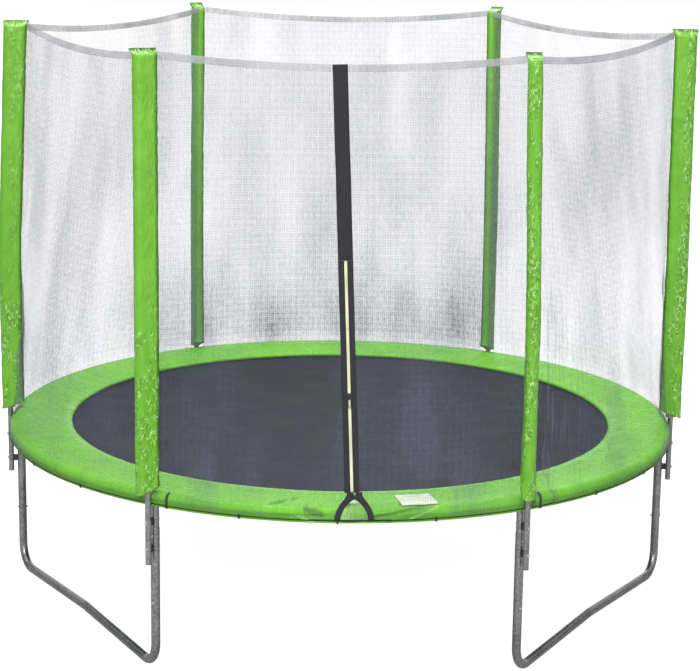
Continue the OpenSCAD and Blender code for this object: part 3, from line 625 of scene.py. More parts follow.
def look():
    scene = bpy.context.scene
    scene.view_settings.view_transform = "Standard"
    cam = bpy.data.cameras.new("camera")
    cam.sensor_width = 36.0
    cam.lens = 109.06
    eye = bpy.data.objects.new("camera", cam)
    eye.matrix_world = (Matrix.Translation((0.0400, -9.6632, 3.3240))
                        @ Matrix.Rotation(math.radians(90 - 12.6653), 4, "X")
                        @ Matrix.Rotation(math.radians(0.8004), 4, "Z"))
    scene.collection.objects.link(eye)
    scene.camera = eye

    world = bpy.data.worlds.new("studio")
    world.use_nodes = True
    w = Nodes(world.node_tree)
    _, y, z = w.split(w.value("TexCoord", output="Generated"))
    # what glossy pieces reflect: a bright front, back and ceiling with dark sides between them
    studio = w.math("MAXIMUM", w.ramp(abs(y), 0.35, 0.85, 0.10, 0.85), w.ramp(z, 0.45, 0.8, 0.0, 0.8))
    # what lights the rest, more evenly
    broad = w.math("MAXIMUM", w.value("MapRange", abs(y), 0.2, 0.8, 0.24, 0.52),
                   w.value("MapRange", z, 0.2, 0.8, 0.0, 0.6))
    camera, glossy, through = (w.value("LightPath", output=f"Is {kind} Ray")
                               for kind in ("Camera", "Glossy", "Transmission"))
    white = (1, 1, 1)
    soft = w.value("MixShader", glossy, w.value("Background", (0.97, 0.98, 1.0), broad),
                   w.value("Background", white, studio))
    w.node("OutputWorld", w.value("MixShader", w.math("MAXIMUM", camera, through), soft,
                                  w.value("Background", white, 1.0)))
    scene.world = world

    for name, place, size, power in (
        ("key", (-0.8, -9.6, 5.2), 2.4, 520.0),
        ("fill", (6.5, -5.0, 3.0), 3.5, 50.0),
        ("top", (-1.0, -0.5, 7.5), 3.5, 320.0),
        ("back", (1.5, 7.5, 6.0), 3.0, 80.0),
    ):
        data = bpy.data.lights.new(name, "AREA")
        data.size = size
        data.energy = power
        lamp = bpy.data.objects.new(name, data)
        lamp.location = place
        lamp.rotation_euler = (Vector((0, 0, 1.1)) - Vector(place)).to_track_quat("-Z", "Y").to_euler()
        scene.collection.objects.link(lamp)

    mesh = bpy.data.meshes.new("floor")
    s = 40.0
    mesh.from_pydata([(-s, -s, 0), (s, -s, 0), (s, s, 0), (-s, s, 0)], [], [(0, 1, 2, 3)])
    floor = bpy.data.objects.new("floor", mesh)
    floor.location.z = -0.0005
    scene.collection.objects.link(floor)
    p = Paint("floor")
    glow = p.math("MULTIPLY_ADD", p.value("LightPath", output="Is Camera Ray"), 0.80, 0.12)
    dull = p.value("BsdfDiffuse", (0.45, 0.45, 0.455))
    p.node("OutputMaterial", p.value("AddShader", dull, p.value("Emission", Strength=glow)))
    mesh.materials.append(p.mat)


# ---------- Poles, foam and sleeves ----------

def lean(k, z):
    """How far pole k has moved aside at height z; it bends above the joint."""
    t = np.clip((np.asarray(z, float) - (JOINT_Z - 0.03)) / (SLEEVE_TOP - JOINT_Z), 0, None)
    share = t * t / (t + 0.05) * 1.05
    return share[..., None] * np.array(LEAN[k - 1])


def lathe(name, k, rings, sides, **kw):
    """A round piece on pole k from (radius, height) rings."""
    r, z = np.array(rings, float).T
    centre = on_circle(POLE_PATH_R, 60 * (k - 1)) + lean(k, z)
    xy = centre[:, None] + r[:, None, None] * round_section(1, sides)
    us = np.linspace(0, 2 * np.pi * FOAM_R, sides + 1)
    return grid(name, with_z(xy, z[:, None]), us, lengths(np.stack([r, z], -1)), wrap_u=True, **kw)


def poles():
    for k in range(1, POLES + 1):
        bore = POLE_R - 0.0012
        rings = [(bore - 0.0014, 1.462), (bore - 0.0002, 1.464), (bore - 0.0002, JOINT_Z - 0.012)]
        rings += [(POLE_R, z) for z in np.linspace(JOINT_Z, POLE_TOP - 0.004, 40)]
        rings += [(bore, POLE_TOP - 0.004)]
        tube = lathe(f"upper_pole_{k}", k, rings, 32, paint=STEEL)
        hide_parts(f"pole_upper_{k}")
        cap_r = POLE_R + 0.0015
        rings = [(bore - 0.0005, POLE_TOP - 0.025), (bore - 0.0005, POLE_TOP - 0.006),
                 (cap_r, POLE_TOP - 0.006), (cap_r, POLE_TOP), (cap_r - 0.003, POLE_TOP + 0.0025),
                 (0.0008, POLE_TOP + 0.003)]
        cap = lathe(f"pole_cap_{k}", k, rings, 32, paint=PLASTIC)
        low = FOAM_BOTTOM[k - 1]
        rings = [(POLE_R + 0.0005, low + 0.03), (POLE_R + 0.0005, low), (FOAM_R - 0.001, low)]
        rings += [(FOAM_R - 0.0002, z) for z in np.linspace(low + 0.002, FOAM_TOP - 0.002, 60)]
        rings += [(FOAM_R - 0.001, FOAM_TOP), (POLE_R + 0.0005, FOAM_TOP)]
        tube = lathe(f"foam_tube_{k}", k, rings, 40, paint=GREY_FOAM)
        if k == 1:
            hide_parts("pole_caps")
            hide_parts("pole_foam")


def mark(obj, name, values):
    """Stores one number for each corner point of a mesh, for its material to read."""
    layer = obj.data.attributes.new(name, "FLOAT", "POINT")
    layer.data.foreach_set("value", np.ravel(values).astype(np.float32))


def sleeve_ring(m):
    """Places round a sleeve in plan, as (x, y), its outward normals and the length so far."""
    bend = math.pi * SLEEVE_R
    s = np.linspace(0, 2 * (bend + SLEEVE_FLAT), m, endpoint=False)
    second, d = np.divmod(s, bend + SLEEVE_FLAT)
    a = np.minimum(d, bend) / SLEEVE_R - math.pi / 2
    normal = np.stack([np.cos(a), np.sin(a)], -1)
    xy = SLEEVE_R * normal
    xy[:, 0] += SLEEVE_FLAT - np.maximum(d - bend, 0)
    # the second half is the first, turned half round
    back = second > 0
    xy[back], normal[back] = (SLEEVE_FLAT, 0) - xy[back], -normal[back]
    return xy, normal, np.append(s, 2 * (bend + SLEEVE_FLAT))


def sleeve(k):
    m, rows = 112, 300
    ring, normal, around = sleeve_ring(m)
    back = SLEEVE_BACK[k - 1] * SLEEVE_FLAT
    shoulder, fin = 0.018, 0.004
    foot = SLEEVE_BOTTOM + (ring[:, 0] + SLEEVE_R) * SLEEVE_SLANT
    z = foot[None] + np.linspace(0, 1, rows)[:, None] * (SLEEVE_TOP - fin - foot[None])
    x = np.broadcast_to(ring[:, 0] - SLEEVE_FLAT / 2, z.shape).copy()
    y = np.broadcast_to(ring[:, 1], z.shape).copy()
    cells, seed = 12, 40 * k
    sc = np.broadcast_to(around[:-1], z.shape) / around[-1] * cells
    top_d = SLEEVE_TOP - fin - z
    bumps = 0.0018 * fbm(sc, z / 0.085, seed, 3, cells)
    bumps += 0.0014 * noise(sc / 2, z / 0.31, seed + 9, cells // 2)
    slope = sc + z / 0.05 * (1 if k % 2 else -1)
    folds = crease(slope * 2, z / 0.09 - sc, seed + 11, 4.0)
    bumps -= 0.0024 * (folds * smooth(noise(sc, z / 0.16, seed + 15, cells) * 1.6 + 0.35))
    ripples = np.sin(z / 0.011 + 3 * noise(sc, z / 0.1, seed + 17, cells))
    bumps += 0.0009 * ripples * smooth(noise(sc, z / 0.2, seed + 19, cells) * 2 - 0.4)
    flat = np.abs(normal[:, 1]) ** 4
    bumps -= 0.0022 * flat * smooth(0.5 + noise(0 * sc, z / 0.4, seed + 21))
    bumps *= smooth(top_d / 0.05) * smooth((z - foot) / 0.06 + 0.25)
    x += bumps * normal[:, 0]
    y += bumps * normal[:, 1]
    # the top slopes up from the front to a welded seam along the far side, wider than the sleeve
    press = np.clip(1.04 - top_d / shoulder, 0, 1)
    press = press + 0.03 * np.sin(np.pi * press)
    seam_x, seam_y = SEAM_SIDE[k - 1]
    if seam_x:
        y *= 1 + 0.17 * smooth(1.3 * press)
        x += (seam_x * (SLEEVE_W / 2 - 0.006) - x) * 0.97 * press
    else:
        x *= 1 + 0.13 * smooth(1.3 * press)
        y += (seam_y * (SLEEVE_R - 0.006) - y) * 0.97 * press
    rim = smooth(1 - (z - foot) / 0.018)
    y += 0.0006 * rim * normal[:, 1]
    x += 0.0006 * rim * normal[:, 0]
    # more rows: the hem turned in at the foot, and the welded fin on top
    x, y = (np.concatenate([np.repeat(c[:1] - 0.0016 * n, 2, axis=0), c, c[-1:]])
            for c, n in zip((x, y), normal.T))
    z = np.concatenate([z[:1] + 0.022, z[:1] + 0.0006, z, z[-1:] + fin])
    wave = 0.0022 * noise(ring[:, 0] / 0.03 + k, 0 * ring[:, 0], seed + 23)
    z[-1] += wave * 0.6
    z[-2] += wave * 0.5
    a, b = on_circle(1, SLEEVE_TURN[k - 1]), on_circle(1, SLEEVE_TURN[k - 1] + 90)
    centre = on_circle(POLE_PATH_R, 60 * (k - 1)) + a * (SLEEVE_FLAT / 2 - back)
    xy = centre + x[..., None] * a + y[..., None] * b + lean(k, z)
    tall = SLEEVE_TOP - SLEEVE_BOTTOM
    vs = np.concatenate([[-0.022, 0], np.linspace(0, tall, rows), [tall + fin]]) + 0.37 * k
    obj = grid(f"sleeve_{k}", with_z(xy, z), around, vs, wrap_u=True, paint=SLEEVE_GREEN)
    zc = z[2:-1]
    # crush: raised facets, stress whitening with painted glints, and painted shade, by side and height
    crush = noise(sc, zc / 0.06, seed + 31, cells) + fbm(sc * 2, zc / 0.05, seed + 33, 2, cells * 2)
    side = smooth(((xy[2:-1, :, 0] - centre[0]) * CRUSH_SIDE[k - 1] + 0.012) / 0.03)
    low = CRUSH_LOW[k - 1] * smooth((1.7 - zc) / 0.5)
    crush = smooth(0.6 + 0.8 * np.clip(crush, -1, 1)) * np.maximum(CRUSH_ALL[k - 1] * side, low)
    # the sloped top that faces up gets the strokes too: a painted highlight
    crush = np.maximum(crush, 0.6 * smooth(press * 3))
    mark(obj, "crush", np.pad(crush, ((2, 1), (0, 0))))
    # painted shade down the side of the sleeve that SHADED_SIDE names, varying with height
    inner = (normal @ np.stack([a, b]))[:, 0] * SHADED_SIDE[k - 1]
    fold = 0.9 + 0.25 * noise(z / 0.15, 0 * z, seed + 37)
    mark(obj, "shaded", smooth((inner - 0.62) / 0.3) * np.clip(fold, 0, 1))
    # the top fin takes the darker seam green: painted shade along the seam line
    obj.data.materials.append(SEAM_SHADE_GREEN)
    seam = np.zeros(len(obj.data.polygons), np.int32)
    seam[-2 * m:] = 1
    obj.data.polygons.foreach_set("material_index", seam)
    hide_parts(f"pole_sleeve_{k}")


# ---------- Net ----------

def net_corner(k):
    flat = (1 - SLEEVE_BACK[k - 1]) * SLEEVE_FLAT
    return (on_circle(POLE_PATH_R, 60 * (k - 1)) + on_circle(flat, SLEEVE_TURN[k - 1])
            + on_circle(SLEEVE_R + GAP, 60 * (k - 1) + 180))


def net_top(u):
    return NET_HIGH - NET_SAG * 4 * u * (1 - u)


def net_share(u, z):
    """How far the net has left the circle of its foot for the straight line between two sleeves."""
    far = np.maximum(0, (z - NET_LOW - NET_FOOT) / (NET_HIGH - NET_LOW - NET_FOOT))
    return far + (np.interp(z - NET_LOW, *NET_BEND) - far) * np.abs(2 * u - 1) ** 6


def net_point(side, u, z, inward):
    """Points of the net's outer face; side is an array of 1 to 6."""
    u, z = np.broadcast_arrays(np.asarray(u, float), np.asarray(z, float))
    side = np.broadcast_to(side, u.shape)
    corners = np.array([net_corner(k) for k in range(1, POLES + 1)])
    leans = np.stack([lean(k, z) for k in range(1, POLES + 1)])
    at = tuple(np.indices(u.shape))
    u = u[..., None]
    a, b = corners[side - 1], corners[side % POLES]
    p = on_circle(NET_R, 60 * (side - 1) + 60 * u[..., 0])
    p = p + (a + (b - a) * u - p) * net_share(u[..., 0], z)[..., None]
    p = p + leans[(side - 1,) + at] * (1 - u) + leans[(side % POLES,) + at] * u
    return with_z(p * (1 - inward[..., None] / np.linalg.norm(p, axis=-1, keepdims=True)), z)


def net_folds(side, u, z):
    """How far the net stands in from its plain face."""
    along = (side - 1 + u) * NET_SIDE
    sx = (side - 1 + u) / POLES * 18
    d = 0.0045 * fbm(sx, z / 0.17 + sx * 0.6, 301, 3, 0)
    patches = smooth(noise(sx, z / 0.35, 307) + 0.3)
    d = d + 0.0035 * np.sin(z / 0.045 + 2.4 * noise(sx * 0.7, z / 0.5, 305)) * patches
    edge = np.minimum(u, 1 - u) * NET_SIDE
    gather = np.exp(-edge / 0.11) * smooth((1.75 - z) / 0.7)
    d = d + 0.0022 * gather * np.sin(edge / 0.0052 + 2.0 * noise(along / 0.3, z / 0.25, 309))
    d = d + 0.003
    calm = smooth((z - NET_LOW - 0.10) / 0.12) * smooth((net_top(u) - HEM_H - z) / 0.09)
    calm = calm * smooth(edge / 0.02)
    front = np.where(side == 5, smooth((np.abs(u - 0.512) * NET_SIDE - 0.055) / 0.08), 1.0)
    return d * calm * front


def net():
    per_side, low_band = 120, 0.2
    t = np.arange(per_side) / per_side
    u = np.tile(t - 0.08 * np.sin(2 * np.pi * t), POLES)
    side = np.repeat(np.arange(1, POLES + 1), per_side)
    low = np.concatenate([np.linspace(0, 0.062, 9), np.linspace(0.062, low_band, 8)[1:]])
    v = np.linspace(0, 1, 78)[1:]
    top = net_top(u) - HEM_H
    z = np.concatenate([np.broadcast_to(NET_LOW + low[:, None], (len(low), len(u))),
                        NET_LOW + low_band + v[:, None] * (top - NET_LOW - low_band)[None]])
    pts = net_point(side, u, z, net_folds(side, u, z) + 0.0006)
    around = lengths(pts[40], True)
    obj = grid("net", pts, around, np.append(z, z[:, :1], 1), wrap_u=True, paint=NET)
    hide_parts("safety_net")
    band_z = np.linspace(0, 1, 7)
    bands = []
    for inward in (0.0, NET_T + 0.0006):
        zz = (top + GAP)[None] + band_z[:, None] * (HEM_H - GAP)
        dd = inward + 0.0006 * np.sin(band_z * np.pi)[:, None] * (1 if inward else -1)
        bands.append(net_point(side, u, zz, np.broadcast_to(dd, zz.shape)))
    rows = np.concatenate([band_z, 2 - band_z[::-1]]) * HEM_H
    both = np.concatenate([bands[0], bands[1][::-1]])
    rows = np.append(rows, rows[-1] + NET_T)
    hem = grid("net_top_band", both, around, rows, wrap_u=True, wrap_v=True, paint=HEM)
    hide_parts("net_top_hem")
    return obj, hem


def ring_band(r, z, deg, across, out, section, closed=False):
    """A band along a level arc; across or out is None where it points away from the middle."""
    away = with_z(on_circle(1, deg), np.zeros(len(deg)))
    path = with_z(on_circle(r, deg), np.full(len(deg), z))
    return sweep(path, away if across is None else across, away if out is None else out, section, closed)


def bottom_binding():
    thick = NET_T - 0.0002
    low = NET_LOW - GAP
    down = (0.0, 0.0, -1.0)
    obj = joined("net_foot_binding", [
        ring_band(NET_R - thick, low - 0.0050, np.linspace(0, 360, 384, endpoint=False), down, None,
                  flat_section(0.005, thick, 0.0002), True),
        ring_band(NET_R - thick, low - 0.0040, np.linspace(-94.3, -81.9, 60), down, None,
                  flat_section(0.0076, thick, 0.0002)),
    ], paint=WEBBING)
    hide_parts("net_bottom_hem")


def ties():
    """Elastic loops from the net's foot to the underside of the ring."""
    parts, loop_r = [], TUBE_R + GAP
    low, inner = RING_Z - loop_r, NET_R + 0.0001
    for deg in (60 * k + a for k in range(POLES) for a in (15, 30, 45)):
        rz = list((RING_R, RING_Z) + on_circle(loop_r, np.linspace(180, 270, 10)))
        rz += [(r, low) for r in np.linspace(RING_R + 0.005, inner - 0.002, 5)]
        rz += [(inner, z) for z in (low + 0.002, low + 0.006, *np.linspace(low + 0.01, NET_LOW, 4))]
        parts.append(band_at(deg, rz, flat_section(0.008, 0.0014), -1))
    obj = joined("net_tie_loops", parts, paint=WEBBING)
    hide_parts("net_ties")


# ---------- Entrance ----------

def front_point(x, z):
    """A point of the net's front face, without the poles' lean."""
    u = 0.5 + x / (2 * NET_R * math.sin(math.radians(30)))
    chord = net_corner(5) + (net_corner(6) - net_corner(5)) * u
    p = on_circle(NET_R, 240 + 60 * u)
    return np.append(p + (chord - p) * net_share(u, z), z)


STRIP_LOW = front_point(STRIP_LOW_X, ZIP_BOTTOM)
STRIP_HIGH = front_point(STRIP_TOP_X, net_top(0.5 + STRIP_TOP_X / NET_R))
RUN = STRIP_HIGH - STRIP_LOW
STRIP_FULL = float(np.linalg.norm(RUN))
# The entrance's own frame: x across, -y out, z up the strip.
ENTRANCE = np.array(
    Matrix.Translation(Vector(STRIP_LOW)) @ Matrix.Rotation(-math.atan2(RUN[1], RUN[2]), 4, "X")
    @ Matrix.Rotation(math.atan2(RUN[0], math.hypot(RUN[1], RUN[2])), 4, "Y")
    @ Matrix.Translation((0, -STRIP_LIFT, 0)))


def entrance_band(name, x0, x1, z0, z1, seed, flat=0.0):
    """A band of webbing that puffs up a little, but not within flat metres of the middle line."""
    n = max(12, int((z1 - z0) / 0.008))
    z = np.linspace(z0, z1, n)
    mid = (x0 + x1) / 2
    path = np.stack([mid + 0.0008 * noise(z / 0.14, 0 * z, seed), 0 * z, z], -1)
    sec = flat_section(x1 - x0, STRIP_T)
    sec = np.broadcast_to(sec, (n,) + sec.shape).copy()
    push = 0.0011 * noise(z / 0.06, 0 * z, seed + 1)[:, None] + 0.0009 * noise(
        sec[..., 0] / 0.02 + z[:, None] / 0.05, z[:, None] / 0.035, seed + 2)
    push = np.maximum(push + 0.0006, 0)
    if flat:
        push = push * smooth((np.abs(mid + sec[..., 0]) - flat) / 0.006)
    sec[..., 1] += push * np.clip(sec[..., 1] / STRIP_T, 0.4, 1)
    part = moved(sweep(path, (1.0, 0, 0), TOWARDS, sec), ENTRANCE)
    return joined(name, [part], paint=STRIP_WEB)


def entrance():
    half, stitch = STRIP_W / 2, 0.0012
    zip_end = (ZIP_TOP - ZIP_BOTTOM) / (STRIP_HIGH[2] - ZIP_BOTTOM) * STRIP_FULL
    strip = entrance_band("entrance_webbing", -half, half, zip_end + GAP, STRIP_FULL, 71)
    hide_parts("entrance_strip")
    parts = []
    for x in (-half + 0.004, half - 0.004):
        for z in np.arange(zip_end + 0.01, STRIP_FULL - 0.004, 0.0052):
            path = np.array([[x, -STRIP_T - 0.0013, z + d * stitch] for d in range(4)])
            path[[0, -1], 1] += 0.0012
            parts.append(moved(sweep(path, *frames_of(path, TOWARDS), round_section(0.00042, 5)), ENTRANCE))
    joined("entrance_stitches", parts, paint=STRIP_WEB)

    tape_l = entrance_band("zip_tape_left", -half, -0.0012, 0, zip_end, 81, 0.011)
    entrance_band("zip_tape_right", 0.0012, half, 0, zip_end, 91, 0.011)
    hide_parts("zip_tape")
    pitch, z0, z1 = 0.0021, 0.006, zip_end - 0.006
    core = np.array([[0, -STRIP_T + 0.0004, z] for z in np.linspace(z0, z1, 60)])
    parts = [moved(sweep(core, (1.0, 0, 0), TOWARDS, flat_section(0.0112, 0.0010)), ENTRANCE)]
    a = np.linspace(0, 2 * np.pi, 8, endpoint=False)
    for side in (-1, 1):
        for i in range(int((z1 - z0) / pitch)):
            z = z0 + pitch * (i + (0.5 if side > 0 else 0.0)) + 0.0006
            # one loop of the coil: a flattened ring that reaches past the middle
            loop = np.stack([side * (0.0026 + 0.0033 * np.cos(a)), -STRIP_T - 0.0013 - 0.00075 * np.sin(a),
                             np.full(8, z)], -1)
            across = np.cross(np.gradient(loop, axis=0), UP)
            across = across / np.linalg.norm(across, axis=1)[:, None]
            parts.append(moved(sweep(loop, across, UP, round_section(0.00036, 4), closed=True), ENTRANCE))
    # the stops at both ends
    for z in (0.004, z1 + 0.002):
        path = np.array([[x, -STRIP_T - 0.0012, z] for x in (-0.006, -0.0045, 0, 0.0045, 0.006)])
        parts.append(moved(sweep(path, *frames_of(path, TOWARDS), round_section(0.0011, 8)), ENTRANCE))
    coil = joined("zip_teeth", parts, paint=COIL)
    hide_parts("zip_coil")


def zip_loop():
    """The pull as an open loop of wire round the zip pull's outline."""
    low, high = (np.array(c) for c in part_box("zip_pull"))
    mid = (low + high) / 2
    half, wire = 0.0052, 0.0011
    a = np.linspace(0, 2 * np.pi, 48, endpoint=False)
    rise = (high[2] - low[2] - 2 * wire) / 2 * np.sign(np.sin(a)) * np.abs(np.sin(a)) ** 0.5
    x = half * np.sign(np.cos(a)) * np.abs(np.cos(a)) ** 0.6
    path = mid + np.stack([x, 0 * x, 0 * x], -1) + rise[:, None] * (RUN / RUN[2])
    across, out = frames_of(np.vstack([path, path[:1]]), TOWARDS)
    part = sweep(path, across[:-1], out[:-1], round_section(wire, 8), closed=True)
    obj = joined("zip_pull_loop", [part], body="zip_pull", paint=ZIP_METAL)
    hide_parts("zip_pull")


def arch_place(side):
    """The frame of one half of the arch, with its middle at x = 0 and +Z up."""
    reach = math.hypot(STRIP_LOW[0], STRIP_LOW[1])
    bearing = math.atan2(STRIP_LOW[1], STRIP_LOW[0]) + 0.010 / reach
    tilt = -math.atan2(NET_R - reach, ZIP_BOTTOM - NET_LOW - NET_FOOT)
    turn = math.radians(1.6)
    return np.array(Matrix.Rotation(bearing + math.pi / 2 + side * turn, 4, "Z")
                    @ Matrix.Translation((0, -reach, ZIP_BOTTOM - GAP)) @ Matrix.Rotation(tilt, 4, "X")
                    @ Matrix.Translation((-side * reach * math.tan(turn), -STRIP_LIFT, -ARCH_APEX)))


def binding():
    """Binding tape in a pointed arch below the zip, with a crumpled gusset of net inside it."""
    r_mid, off = ARCH_R - ARCH_TAPE / 2, ARCH_R - ARCH_HALF
    drop = ZIP_BOTTOM - NET_LOW + GAP
    section = flat_section(ARCH_TAPE, STRIP_T)
    parts = []
    for side in (-1, 1):
        place = arch_place(side)
        phi = np.linspace(math.acos(off / r_mid), math.asin((ARCH_APEX - drop) / r_mid), 30)
        x, z = side * (r_mid * np.cos(phi) - off), r_mid * np.sin(phi)
        path = np.stack([x, 0 * x + (0.0 if side < 0 else -0.0003), z], -1)
        sec = np.broadcast_to(section, (30, 16, 2)).copy()
        puff = 0.0006 + 0.0006 * noise(np.linspace(0, 5, 30), 0 * phi, 130 + side)
        sec[..., 1] += puff[:, None] * (sec[..., 1] > 0.0005)
        parts.append(moved(sweep(path, *frames_of(path, TOWARDS), sec), place))
        path = np.array([[side * x, -0.0036, ARCH_APEX + z] for x, z in ARCH_TAB])
        parts.append(moved(sweep(path, *frames_of(path, TOWARDS), section), place))
    obj = joined("entrance_arch_binding", parts, paint=WEBBING)
    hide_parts("entrance_binding")

    rows, cols = 44, 61
    place = arch_place(0)
    v, u = np.linspace(0, 1, rows)[:, None], np.linspace(-1, 1, cols)[None]
    z = (ARCH_APEX - drop) + 0.002 + v * (drop - 0.024)
    x = u * np.maximum(np.sqrt(np.maximum(r_mid ** 2 - z ** 2, 0)) - off, 0.004)
    y = -0.0004 + 0.0007 * fbm(x / 0.012 + z / 0.02, z / 0.016, 151, 2)
    y = y - 0.0004 * crease(x / 0.03, z / 0.02, 153, 4.0)
    y = x ** 2 / (2 * NET_R) - 0.0005 + np.clip(y, -0.0013, 0.0006)
    pts = np.stack([x, y, z + 0 * x], -1) @ place[:3, :3].T + place[:3, 3]
    return grid("entrance_gusset", pts, x[0] * 1.3, z[:, 0] * 1.3, paint=GUSSET)


# ---------- Pad ----------

def apart(deg, other):
    return np.abs((np.asarray(deg) - other + 180) % 360 - 180)


def pad_share(r):
    """How far across the pad's top a radius lies, from 0 at the inner edge to 1."""
    return (r - TOP_IN[0]) / (TOP_OUT[0] - TOP_IN[0])


def pad_puff(r, deg):
    """How far the pad's top stands above the plain slope, in metres."""
    t = np.clip(pad_share(r), 0, 1)
    bulge = np.sin(np.pi * t)
    body = bulge ** 0.7
    arc = np.radians(deg) * PAD_MID_R
    cells = 96
    c = np.asarray(deg) / 360 * cells
    d = 0.006 * body * (0.75 + 0.35 * noise(c / 4, t * 1.5, 501, cells // 4))
    d = d + 0.0030 * fbm(c / 2, t * 1.1, 505, 2, cells // 2) * np.sqrt(body)
    # short wrinkles across the width, stronger towards both edges
    cross = crease(c * 2 + t * 2, t * 1.3, 511, 3.2, cells * 2)
    d = d - 0.0024 * cross * smooth(noise(c / 2, t * 2, 513, cells // 2) * 1.5 + 0.3)
    ripples = np.sin(arc / 0.0075 + 2 * noise(c, t, 517, cells)) * (1 - bulge) * (bulge > 0.02)
    d = d + 0.0012 * ripples * smooth(noise(c / 2, 0 * t, 519, cells // 2) + 0.35)
    for seam in PAD_SEAMS:
        gap = apart(deg, seam) * math.pi / 180 * PAD_MID_R
        d = d - 0.0065 * body * np.exp(-(gap / 0.011) ** 2)
        d = d + np.exp(-gap / 0.05) * np.sin(t * 34 + seam) * 0.0012 * body
    for strap in STRAP_AT:
        gap = apart(deg, strap) * math.pi / 180 * 1.5
        d = d - 0.003 * np.exp(-(gap / 0.02) ** 2) * smooth((t - 0.55) / 0.4)
    return d * smooth(t / 0.08 + 0.15) * smooth((1.02 - t) / 0.12)


def pad_top(r, deg):
    """Height of the pad's top."""
    return TOP_IN[1] + pad_share(r) * (TOP_OUT[1] - TOP_IN[1]) + pad_puff(r, deg)


def pad_outline():
    """Section points (r, z) from the inner edge over the top, down the skirt and back below."""
    def arc(r, z, rad, a0, a1, n):
        return list((r, z) + on_circle(rad, np.linspace(a0, a1, n)))

    pts = arc(PAD_IN_R + PAD_T / 2, PAD_LOW + PAD_T / 2, PAD_T / 2, 270, 96, 9)
    pts += list(np.linspace(TOP_IN, TOP_OUT, 44))
    pts += arc(PAD_OUT_R - PAD_ROUND, PAD_TOP - PAD_ROUND, PAD_ROUND, 84, 0, 9)
    pts += [(PAD_OUT_R, z) for z in np.linspace(PAD_TOP - PAD_ROUND, SKIRT_BOTTOM + SKIRT_T / 2, 7)[1:]]
    pts += arc(PAD_OUT_R - SKIRT_T / 2, SKIRT_BOTTOM + SKIRT_T / 2, SKIRT_T / 2, -20, -180, 7)
    pts += [(SKIRT_IN_R, z) for z in (0.738, 0.75, PAD_HIGH - 0.003)]
    pts += [(r, PAD_HIGH) for r in (SKIRT_IN_R - 0.003, 1.48, 1.43, 1.38, HOOK_MAT_R - 0.012)]
    pts += [(r, PAD_LOW) for r in (1.3079, 1.28)]
    return np.array(pts)


def pad_fold(deg, height, a0, a1, h0, h1, width):
    """A fold from one bearing and height to another, as the pad's front shows it."""
    t = (deg - a0) / (a1 - a0)
    ends = smooth(t * 6 + 0.5) * smooth((1 - t) * 6 + 0.5)
    return ends * np.exp(-((height - h0 - (h1 - h0) * t) / width) ** 2)


def pad():
    n, cells = 1800, 120
    deg = np.linspace(0, 360, n, endpoint=False)
    section = pad_outline()
    r, z = section.T
    rr = np.broadcast_to(r[:, None], (len(r), n)).copy()
    zz = np.broadcast_to(z[:, None], rr.shape).copy()
    dd = np.broadcast_to(deg[None], rr.shape)
    top = (z > TOP_IN[1] - 1e-6) & (r >= TOP_IN[0] - 1e-6) & (r <= TOP_OUT[0] + 1e-6)
    skirt = (r > PAD_OUT_R - 0.001) & (z < PAD_TOP - PAD_ROUND)
    inner = r < TOP_IN[0] + 1e-6
    zz[top] += pad_puff(rr, dd)[top]
    c = dd / 360 * cells
    wave = 0.0012 * noise(c, zz / 0.05, 531, cells) + 0.0006 * noise(c * 4, zz / 0.02, 533, cells * 4)
    # the front: loose folds all over, and the plain ones of FRONT_FOLDS and FRONT_RIDGES
    front = smooth((17 - apart(dd, FRONT)) / 8)
    loose = crease(c / 2.2 + zz / 0.035, zz / 0.05 - c / 5, 535, 2.2)
    loose = loose + crease(c / 1.6 - zz / 0.03, zz / 0.06 + c / 4, 537, 2.6)
    height = (zz - SKIRT_BOTTOM) * 0.968 + (PAD_OUT_R - rr) * 0.25
    lines = sum(pad_fold(dd, height, *f) for f in FRONT_FOLDS)
    ridge = np.clip(sum(pad_fold(dd, height, *f) for f in FRONT_RIDGES), 0, 1)
    fold = np.clip(0.5 * loose + lines, 0, 1)
    zz[top] -= (0.008 * front * fold * smooth((rr - 1.41) / 0.07))[top]
    rr[skirt] += (np.minimum(wave - 0.009 * front * fold, 0.0) - 0.0002 + 0.003 * ridge)[skirt]
    wob = 0.0014 * noise(c / 2, 0 * c, 541, cells // 2) + 0.0008 * noise(c * 2, 0 * c, 543, cells * 2)
    rr[inner] += np.clip(wob[inner], -0.002, 0.002) + 0.0008
    pts = with_z(on_circle(1, dd) * rr[..., None], zz)
    us = np.radians(np.append(deg, 360)) * PAD_MID_R
    obj = grid("pad_cover", pts, us, lengths(section, True), wrap_u=True, wrap_v=True, flip=True,
               paint=PAD_GREEN)
    front = front * smooth((rr - 1.42) / 0.06)
    # a little crushing at the front: raised facets with faint painted glints and shade
    mark(obj, "crush", 0.13 * front * smooth(0.6 + noise(c / 2, zz / 0.03, 551)))
    # the skirt lies in shade but for the front, where it is pulled out
    under = smooth((0.764 - zz) / 0.014) * smooth((rr - PAD_OUT_R + 0.016) / 0.01)
    pulled = smooth((dd - 263.5) / 3) * smooth((281 - dd) / 3)
    # painted highlight along the pad's inner edge and on the front ridges
    rim = smooth((rr - 1.256) / 0.008) * smooth((1.300 - rr) / 0.03) * smooth((apart(dd, 90) - 60) / 30)
    mark(obj, "lit", np.maximum(0.45 * rim, ridge))
    # painted shade on the skirt and in the front folds
    mark(obj, "shaded", np.maximum((0.6 - 0.5 * pulled) * under, np.maximum(front * fold ** 2, lines)))
    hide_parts("safety_pad_cover", "pad_foam")


def pad_seams():
    """Welded ribs across the pad, in shallow grooves."""
    parts = []
    for seam in PAD_SEAMS:
        r = np.linspace(TOP_IN[0] + 0.004, TOP_OUT[0] - 0.002, 40)
        deg = np.full(40, seam)
        path = with_z(on_circle(1, deg) * r[:, None], pad_top(r, deg) + 0.0002)
        parts.append(sweep(path, *frames_of(path, UP), flat_section(0.012, 0.0012, 0.0006)))
    joined("pad_cover_seams", parts, paint=PAD_GREEN)


